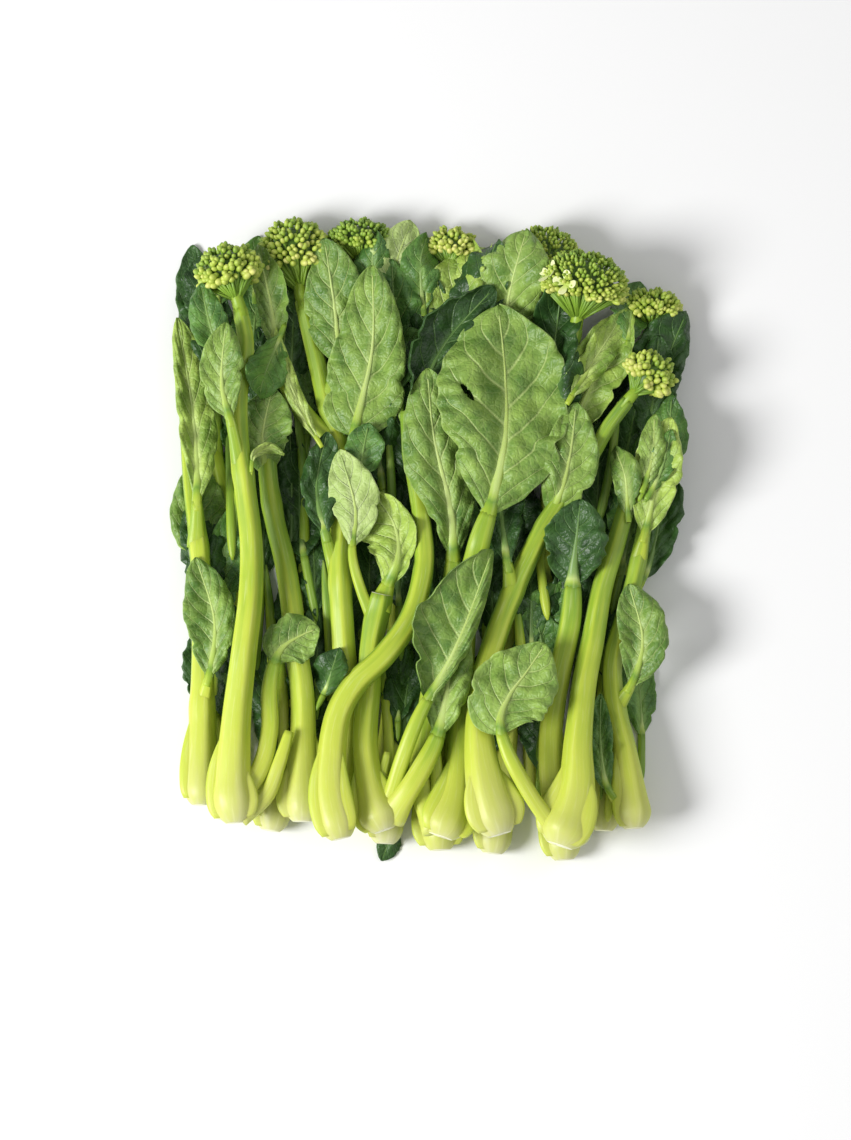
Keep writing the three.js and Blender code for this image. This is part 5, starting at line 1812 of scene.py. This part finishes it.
@dataclass(frozen=True)
class Value:
    """A shader value that takes part in sums, and the socket that gives it."""

    graph: Graph
    socket: bpy.types.NodeSocket

    def __add__(self, other: Term) -> Value:
        """Returns the sum."""
        return self.graph.maths("ADD", self, other)

    def __sub__(self, other: Term) -> Value:
        """Returns the difference."""
        return self.graph.maths("SUBTRACT", self, other)

    def __mul__(self, other: Term) -> Value:
        """Returns the product."""
        return self.graph.maths("MULTIPLY", self, other)

    def __truediv__(self, other: Term) -> Value:
        """Returns the quotient."""
        return self.graph.maths("DIVIDE", self, other)

    def __pow__(self, other: Term) -> Value:
        """Returns the power."""
        return self.graph.maths("POWER", self, other)

    def __rsub__(self, other: Term) -> Value:
        """Returns the difference from a number."""
        return self.graph.maths("SUBTRACT", other, self)

    def __abs__(self) -> Value:
        """Returns the value without its sign."""
        return self.graph.maths("ABSOLUTE", self)

    __radd__ = __add__
    __rmul__ = __mul__

    def fract(self) -> Value:
        """Returns the part after the point."""
        return self.graph.maths("FRACT", self)

    def ramp(self, start: float, end: float) -> Value:
        """Returns a smooth step from 0 at the start to 1 at the end, or the other way round."""
        low, high, flipped = (start, end, False) if start < end else (end, start, True)
        settings = {"interpolation_type": "SMOOTHSTEP"}
        inputs = {"Value": self, "From Min": low, "From Max": high}
        step = self.graph.node("ShaderNodeMapRange", settings, inputs, "Result")
        return 1.0 - step if flipped else step


Term = Value | float
Colour = tuple[float, float, float]
Paint = Value | Colour | str


def linear(code: str) -> Colour:
    """Returns the linear colour of a web colour such as B8D030."""
    shares = [int(code[i : i + 2], 16) / 255 for i in (0, 2, 4)]
    return tuple(s / 12.92 if s <= 0.04045 else ((s + 0.055) / 1.055) ** 2.4 for s in shares)


class Graph:
    """A material's nodes."""

    def __init__(self, name: str) -> None:
        """Starts a material with a Principled shader.

        Args:
            name: The material's name.
        """
        self.material = bpy.data.materials.new(name)
        self.material.use_nodes = True
        self.tree = self.material.node_tree
        self.shader = self.tree.nodes["Principled BSDF"]

    def _plug(self, target: bpy.types.NodeSocket, value: Term | Paint) -> None:
        """Links a value to a socket, or sets it, where a web colour is given as its code."""
        if isinstance(value, Value):
            self.tree.links.new(value.socket, target)
        elif isinstance(value, str):
            target.default_value = (*linear(value), 1.0)
        elif isinstance(value, tuple) and target.type == "RGBA":
            target.default_value = (*value, 1.0)
        else:
            target.default_value = value

    def node(
        self, kind: str, settings: Mapping, inputs: Mapping[str | int, Term | Paint], output: str | int
    ) -> Value:
        """Adds a node.

        Args:
            kind: The node's type.
            settings: Its settings.
            inputs: Values for its sockets, by name or number.
            output: The output that is wanted.

        Returns:
            The output's value.
        """
        made = self.tree.nodes.new(kind)
        for name, value in settings.items():
            setattr(made, name, value)
        for name, value in inputs.items():
            self._plug(made.inputs[name], value)
        return Value(self, made.outputs[output])

    def maths(self, operation: str, *terms: Term) -> Value:
        """Returns the result of one Math node."""
        return self.node("ShaderNodeMath", {"operation": operation}, dict(enumerate(terms)), 0)

    def mix(self, share: Term, first: Paint, second: Paint) -> Value:
        """Returns the mixture of two colours."""
        inputs = {0: share, 6: first, 7: second}
        return self.node("ShaderNodeMix", {"data_type": "RGBA"}, inputs, 2)

    def map_of(self, name: str) -> tuple[Value, Value, Value]:
        """Returns a UV map as a vector and as its two numbers."""
        vector = self.node("ShaderNodeUVMap", {"uv_map": name}, {}, "UV")
        parts = self.tree.nodes.new("ShaderNodeSeparateXYZ")
        self.tree.links.new(vector.socket, parts.inputs[0])
        return vector, Value(self, parts.outputs[0]), Value(self, parts.outputs[1])

    def place(self) -> Value:
        """Returns the place on the object."""
        return self.node("ShaderNodeTexCoord", {}, {}, "Object")

    def tone(self) -> Value:
        """Returns the tone that the mesh carries."""
        return self.node("ShaderNodeAttribute", {"attribute_name": "tone"}, {}, "Fac")

    def vector(self, x: Term, y: Term, z: Term = 0.0) -> Value:
        """Returns a vector of three numbers."""
        return self.node("ShaderNodeCombineXYZ", {}, {0: x, 1: y, 2: z}, 0)

    def noise(self, where: Value, scale: float, detail: float = 3.0) -> Value:
        """Returns a noise from 0 to 1."""
        inputs = {"Vector": where, "Scale": scale, "Detail": detail}
        return self.node("ShaderNodeTexNoise", {}, inputs, 0)

    def cells(self, where: Value, scale: float, feature: str) -> Value:
        """Returns the distance that a Voronoi texture gives, over a flat map."""
        settings = {"voronoi_dimensions": "2D", "feature": feature}
        return self.node("ShaderNodeTexVoronoi", settings, {"Vector": where, "Scale": scale}, "Distance")

    def colours(self, at: Value, stops: Sequence[tuple[float, str]]) -> Value:
        """Returns a colour from a row of web colours.

        Args:
            at: The place in the row, from 0 to 1.
            stops: Each colour's place and code.

        Returns:
            The colour.
        """
        made = self.tree.nodes.new("ShaderNodeValToRGB")
        ramp = made.color_ramp
        while len(ramp.elements) < len(stops):
            ramp.elements.new(0.5)
        for element, (place, code) in zip(ramp.elements, stops):
            element.position = place
            element.color = (*linear(code), 1.0)
        self.tree.links.new(at.socket, made.inputs[0])
        return Value(self, made.outputs[0])

    def bump(self, height: Value, distance: float, strength: float = 1.0) -> Value:
        """Returns the normal of a surface with a relief.

        Args:
            height: The relief, from 0 to 1.
            distance: Its height in metres.
            strength: How much of it counts.

        Returns:
            The normal.
        """
        inputs = {"Height": height, "Distance": distance, "Strength": strength}
        return self.node("ShaderNodeBump", {}, inputs, "Normal")

    def finish(self, **inputs: Term | Paint) -> bpy.types.Material:
        """Sets the shader's sockets.

        Args:
            inputs: Values by socket name, with _ for a space.

        Returns:
            The material.
        """
        for name, value in inputs.items():
            self._plug(self.shader.inputs[name.replace("_", " ")], value)
        return self.material


@dataclass(frozen=True)
class StemFinish:
    """The skin of stems, stalks and ribs, whose tone goes from cream through lime to green."""

    FIBRES, STREAKS, PORES = (160.0, 9.0), (34.0, 2.2), (60.0, 60.0)  # a decimetre, around and along
    BLOTCHES = 55.0  # the scale of a noise over the object, in metres
    TONES = 5.0  # the tone at the row's end
    PALE_FIBRE = "F2F4C4"

    stops: tuple[tuple[float, str], ...] = (
        (0.0, "CFCF9F"),
        (0.1, "C5C879"),
        (0.2, "C0C75C"),
        (0.3, "BFCA4A"),
        (0.4, "B0C23C"),
        (0.5, "8DAB30"),
        (0.6, "6E9434"),
        (0.7, "A3BC50"),
        (0.8, "B8CC78"),
        (0.9, "7E9E52"),
        (1.0, "55793A"),
    )

    def make(self) -> bpy.types.Material:
        """Makes the material."""
        graph = Graph("choy_stem_skin")
        _, around, along = graph.map_of("Grain")
        grains = (self.FIBRES, self.STREAKS, self.PORES)
        stretched = [graph.vector(around * wide, along * long) for wide, long in grains]
        fibres = graph.noise(stretched[0], 1.0, 4.0)
        streaks = graph.noise(stretched[1], 1.0, 3.0)
        pores = graph.noise(stretched[2], 1.0, 2.0)
        blotches = graph.noise(graph.place(), self.BLOTCHES, 2.0)
        tone = graph.tone() + (streaks - 0.5) * 1.6 + (blotches - 0.5) * 0.7
        colour = graph.colours(tone / self.TONES, self.stops)
        lighter = graph.mix(fibres.ramp(0.5, 0.85) * 0.25, colour, self.PALE_FIBRE)
        relief = fibres * 0.7 + pores * 0.3
        return graph.finish(
            Base_Color=lighter,
            Roughness=0.33 + 0.18 * streaks,
            Normal=graph.bump(relief, 0.12 * MM, 0.8),
            Specular_IOR_Level=0.38,
            Subsurface_Weight=0.12,
            Subsurface_Radius=(0.004, 0.006, 0.002),
            Subsurface_Scale=0.35,
        )


@dataclass(frozen=True)
class CutFinish:
    """The cut face at the end of a butt, cream with a darker ring."""

    flesh: str = "EFF0CF"
    ring: str = "C9C58C"
    dry: str = "A89A62"

    def make(self) -> bpy.types.Material:
        """Makes the material."""
        graph = Graph("choy_cut_face")
        place = graph.place()
        wet = graph.noise(place, 220.0, 3.0)
        dry = graph.noise(place, 700.0, 2.0)
        body = graph.mix(wet.ramp(0.45, 0.75), self.flesh, self.ring)
        colour = graph.mix(dry.ramp(0.62, 0.8) * 0.6, body, self.dry)
        normal = graph.bump(dry, 0.2 * MM, 0.7)
        return graph.finish(Base_Color=colour, Roughness=0.55 + 0.2 * wet, Normal=normal)


@dataclass(frozen=True)
class LeafFinish:
    """A face of a leaf."""

    name: str
    flesh: str
    deep: str
    vein: str
    rim: str
    net: float
    gloss: float
    raised: bool

    NET_SCALE, FINE_SCALE = 26.0, 75.0  # cells a decimetre
    VEIN_WIDTH, HALO_WIDTH = 0.085, 3.2  # of a side vein over the gap between two, and of the painted shade band beside it over the vein
    WOBBLE = 0.02  # decimetres by which the nets are bent
    RELIEF = 0.55 * MM
    RIM_STARTS = 0.965  # share of the half width
    # how much each layer of colour covers; the first paints shade along the fine creases and the third
    # paints shade beside the side veins
    CREASES, FINE_NET, HALO, VEINS, RIB, RIM = 0.16, 0.35, 0.3, 0.66, 0.55, 0.55
    # how high each layer of the relief stands
    BLISTERS, RAISED_VEINS, RAISED_NET, FINE_BLISTERS, GRAIN = 0.24, 0.45, 0.06, 0.16, 0.1

    def make(self) -> bpy.types.Material:
        """Makes the material."""
        graph = Graph(self.name)
        grain, along, across = graph.map_of("Grain")
        _, share, side = graph.map_of("Form")
        fraction = side * 2.0 - 1.0
        out = abs(fraction)
        left = graph.maths("GREATER_THAN", fraction, 0.0)
        jitter = (graph.noise(grain, 9.0, 2.0) - 0.5) * 0.22 * out.ramp(0.0, 0.5)
        arch = VEIN_ARCH[0] * out + VEIN_ARCH[1] * out * out
        phase = (share - arch) * float(VEINS_A_SIDE) + 0.5 - 0.5 * left + jitter
        from_vein = abs(phase.fract() - 0.5)
        width = self.VEIN_WIDTH * (1.0 - 0.6 * out)
        fade = out.ramp(1.0, 0.8) * share.ramp(0.0, 0.06) * share.ramp(1.02, 0.9)
        side_vein = (1.0 - graph.maths("MINIMUM", from_vein / width, 1.0)) ** 0.8 * fade
        # painted shade: a darker band beside each side vein
        vein_shade = (1.0 - graph.maths("MINIMUM", from_vein / (width * self.HALO_WIDTH), 1.0)) * fade
        bent_along = along + self.WOBBLE * graph.noise(grain, 30.0, 2.0)
        moved = graph.vector(bent_along, across + self.WOBBLE * graph.noise(grain, 36.0, 2.0))
        net_edge = graph.cells(moved, self.NET_SCALE, "DISTANCE_TO_EDGE")
        net = net_edge.ramp(0.075, 0.012)
        fine_edge = graph.cells(moved, self.FINE_SCALE, "DISTANCE_TO_EDGE")
        fine = fine_edge.ramp(0.09, 0.01)
        patches = graph.noise(grain, 14.0, 3.0)
        mottle = graph.noise(grain, 120.0, 3.0)
        age = graph.tone()
        fresh = patches * 1.5 + mottle * 0.3 + age * 0.3 - 0.55
        body = graph.mix(fresh.ramp(0.0, 0.95), self.deep, self.flesh)
        # painted shade: darker along the fine creases of the net
        crease_shaded = graph.mix((1.0 - fine_edge.ramp(0.0, 0.3)) * self.CREASES, body, self.deep)
        netted = graph.mix((net + fine * self.FINE_NET) * self.net, crease_shaded, self.vein)
        shaded = graph.mix(vein_shade * self.HALO, netted, self.deep)
        veined = graph.mix(side_vein * self.VEINS, shaded, self.vein)
        near_rib = abs(across).ramp(0.022, 0.004) * share.ramp(1.0, 0.2)
        ribbed = graph.mix(near_rib * self.RIB, veined, self.vein)
        colour = graph.mix(out.ramp(self.RIM_STARTS, 1.0) * self.RIM, ribbed, self.rim)
        sign = 1.0 if self.raised else -1.0
        blisters = net_edge.ramp(0.0, 0.3) * self.BLISTERS + fine_edge.ramp(0.0, 0.35) * self.FINE_BLISTERS
        veins = side_vein * (sign * self.RAISED_VEINS) + net * (sign * self.RAISED_NET)
        relief = blisters + veins + mottle * self.GRAIN
        return graph.finish(
            Base_Color=colour,
            Roughness=self.gloss + 0.14 * patches,
            Normal=graph.bump(relief, self.RELIEF, 0.85),
            Specular_IOR_Level=0.4,
        )


@dataclass(frozen=True)
class BudFinish:
    """The skin of a flower bud, from tight green to ripe yellow-green."""

    stops: tuple[tuple[float, str], ...] = (
        (0.0, "2A4419"),
        (0.33, "668C2E"),
        (0.55, "8CAA3A"),
        (0.78, "B4C450"),
        (1.0, "D6D57A"),
    )

    def make(self) -> bpy.types.Material:
        """Makes the material."""
        graph = Graph("choy_bud_skin")
        place = graph.place()
        mottle = graph.noise(place, 900.0, 2.0)
        tone = graph.tone() * 0.5 + 0.36 + (mottle - 0.5) * 0.12
        colour = graph.colours(tone, self.stops)
        return graph.finish(
            Base_Color=colour, Roughness=0.42 + 0.14 * mottle, Normal=graph.bump(mottle, 0.1 * MM, 0.5)
        )


@dataclass(frozen=True)
class PetalFinish:
    """A pale yellow petal, greener towards its root."""

    root: str = "BFD168"
    tip: str = "E9EDB4"

    def make(self) -> bpy.types.Material:
        """Makes the material."""
        graph = Graph("choy_petal")
        mottle = graph.noise(graph.place(), 700.0, 2.0)
        out = (graph.tone() + (mottle - 0.5) * 0.3).ramp(0.1, 0.8)
        colour = graph.mix(out, self.root, self.tip)
        normal = graph.bump(mottle, 0.1 * MM, 0.4)
        return graph.finish(Base_Color=colour, Roughness=0.5 + 0.1 * mottle, Normal=normal)


LEAF_FACES: Mapping[Look, tuple[LeafFinish, LeafFinish]] = {
    Look.FRESH: (
        LeafFinish("choy_leaf_fresh", "90AE4E", "4E742C", "BCCE80", "A9BF74", 0.15, 0.38, False),
        LeafFinish("choy_leaf_fresh_under", "9AB46A", "7E9C50", "C2D294", "B6C88A", 0.2, 0.52, True),
    ),
    Look.LIGHT: (
        LeafFinish("choy_leaf_light", "AAC256", "74963A", "CCDA8C", "CBD898", 0.16, 0.38, False),
        LeafFinish("choy_leaf_light_under", "B4C87C", "96B05C", "D2DEA8", "D0DCA4", 0.2, 0.52, True),
    ),
    # dark leaves: partly their own colour, partly painted shade of the bunch's inside
    Look.DARK: (
        LeafFinish("choy_leaf_dark", "3A5F28", "1D3B17", "648848", "5E8242", 0.12, 0.36, False),
        LeafFinish("choy_leaf_dark_under", "6A8E62", "4A6E48", "8EAC7C", "84A274", 0.16, 0.50, True),
    ),
    Look.SMALL: (
        LeafFinish("choy_leaf_small", "64903C", "375F2A", "92B25C", "82A454", 0.14, 0.38, False),
        LeafFinish("choy_leaf_small_under", "7E9E5C", "62844A", "A4BC80", "9CB678", 0.18, 0.50, True),
    ),
}


@dataclass(frozen=True)
class Finishes:
    """The scene's materials."""

    stem: bpy.types.Material
    cut: bpy.types.Material
    buds: bpy.types.Material
    petals: bpy.types.Material
    leaf: Mapping[Look, tuple[bpy.types.Material, bpy.types.Material]]

    @classmethod
    def make(cls) -> Finishes:
        """Makes every material."""
        leaf = {look: (upper.make(), under.make()) for look, (upper, under) in LEAF_FACES.items()}
        return cls(StemFinish().make(), CutFinish().make(), BudFinish().make(), PetalFinish().make(), leaf)


STEEPEST = 3.2 * MM  # from one point of a small leaf to the next


def add_plant(plan: PlantPlan, finishes: Finishes) -> None:
    """Makes every piece of a plant.

    Args:
        plan: The plant in plan.
        finishes: The scene's materials.
    """
    stem = StemMaker(plan, finishes)
    stem.add_stem()
    stem.add_scales()
    for number, leaf in enumerate(plan.leaves, start=1):
        stalk = stem.add_leaf_stalk(leaf)
        node = f"{plan.name}_leaf_{number}"
        blade = BladeMaker(f"{node}_live", leaf, OnSolid(Bed([node])), stalk, finishes)
        blade.make(SLOTS[leaf.look], [node])
    for number, leaf in enumerate(plan.small_leaves, start=1):
        stalk = stem.add_leaf_stalk(leaf)
        name = f"{plan.name}_small_leaf_{number}"
        BladeMaker(name, leaf, OnSolid(stem.bed, STEEPEST), stalk, finishes).make("leaf", [])
    for shoot in plan.shoots:
        stem.add_shoot(shoot)
    stem.finish()
    if plan.head is not None:
        HeadMaker(plan, stem.top(), finishes).make()


@dataclass(frozen=True)
class Shot:
    """The photograph's view."""

    aim: Point = (-1.85, -11.3)  # millimetres
    aim_height: float = 12 * MM
    elevation: float = 81.0
    distance: float = 1.25
    height: float = 0.351
    sensor: float = 36.0

    def make(self) -> None:
        """Makes the camera."""
        rise = math.radians(self.elevation)
        target = Vector((self.aim[0] * MM, self.aim[1] * MM, self.aim_height))
        away = Vector((0, -math.cos(rise), math.sin(rise)))
        camera = bpy.data.cameras.new("photo_camera")
        camera.sensor_fit = "VERTICAL"
        camera.sensor_height = self.sensor
        camera.lens = self.sensor * self.distance / self.height
        camera.clip_end = 20
        item = added("photo_camera", camera)
        item.location = target + away * self.distance
        item.rotation_euler = (-away).to_track_quat("-Z", "Y").to_euler()
        bpy.context.scene.camera = item


@dataclass(frozen=True)
class Lamp:
    """A soft box."""

    name: str
    place: tuple[float, float, float]
    size: float
    watts: float


LAMPS = (
    Lamp("key_light", (-0.85, -0.3, 0.75), 0.5, 16.0),
    Lamp("fill_light", (0.7, 0.1, 0.9), 0.9, 2.0),
)


FLOOR_GREY, FLOOR_HALF = 0.86, 3.0
WORLD_STRENGTH = 0.42


def add_studio() -> None:
    """Makes the floor, the lights and the world."""
    bm = bmesh.new()
    bmesh.ops.create_grid(bm, x_segments=1, y_segments=1, size=FLOOR_HALF)
    mesh = bpy.data.meshes.new("floor")
    bm.to_mesh(mesh)
    bm.free()
    floor = added("floor", mesh)
    graph = Graph("pale_floor")
    mesh.materials.append(graph.finish(Base_Color=(FLOOR_GREY,) * 3, Roughness=0.8))
    for lamp in LAMPS:
        light = bpy.data.lights.new(lamp.name, "AREA")
        light.shape = "DISK"
        light.size = lamp.size
        light.energy = lamp.watts
        item = added(lamp.name, light)
        item.location = lamp.place
        item.rotation_euler = (-Vector(lamp.place)).to_track_quat("-Z", "Y").to_euler()
    world = bpy.data.worlds.new("studio")
    world.use_nodes = True
    light_of_all = world.node_tree.nodes["Background"].inputs
    light_of_all["Color"].default_value = (1.0, 1.0, 1.0, 1.0)
    light_of_all["Strength"].default_value = WORLD_STRENGTH
    bpy.context.scene.world = world
    bpy.context.scene.view_settings.view_transform = "Standard"


def main() -> None:
    """Makes the scene."""
    logging.basicConfig(level=logging.INFO, format="%(message)s")
    Shot().make()
    add_studio()
    finishes = Finishes.make()
    for plan in PLANTS:
        add_plant(plan, finishes)
    loose_maker = LooseLeafMaker(finishes)
    for number, leaf in enumerate(LOOSE_LEAVES, start=1):
        loose_maker.make(number, leaf)
    loose_maker.make_stalks(LOOSE_STALKS)


if __name__ == "__main__":
    main()
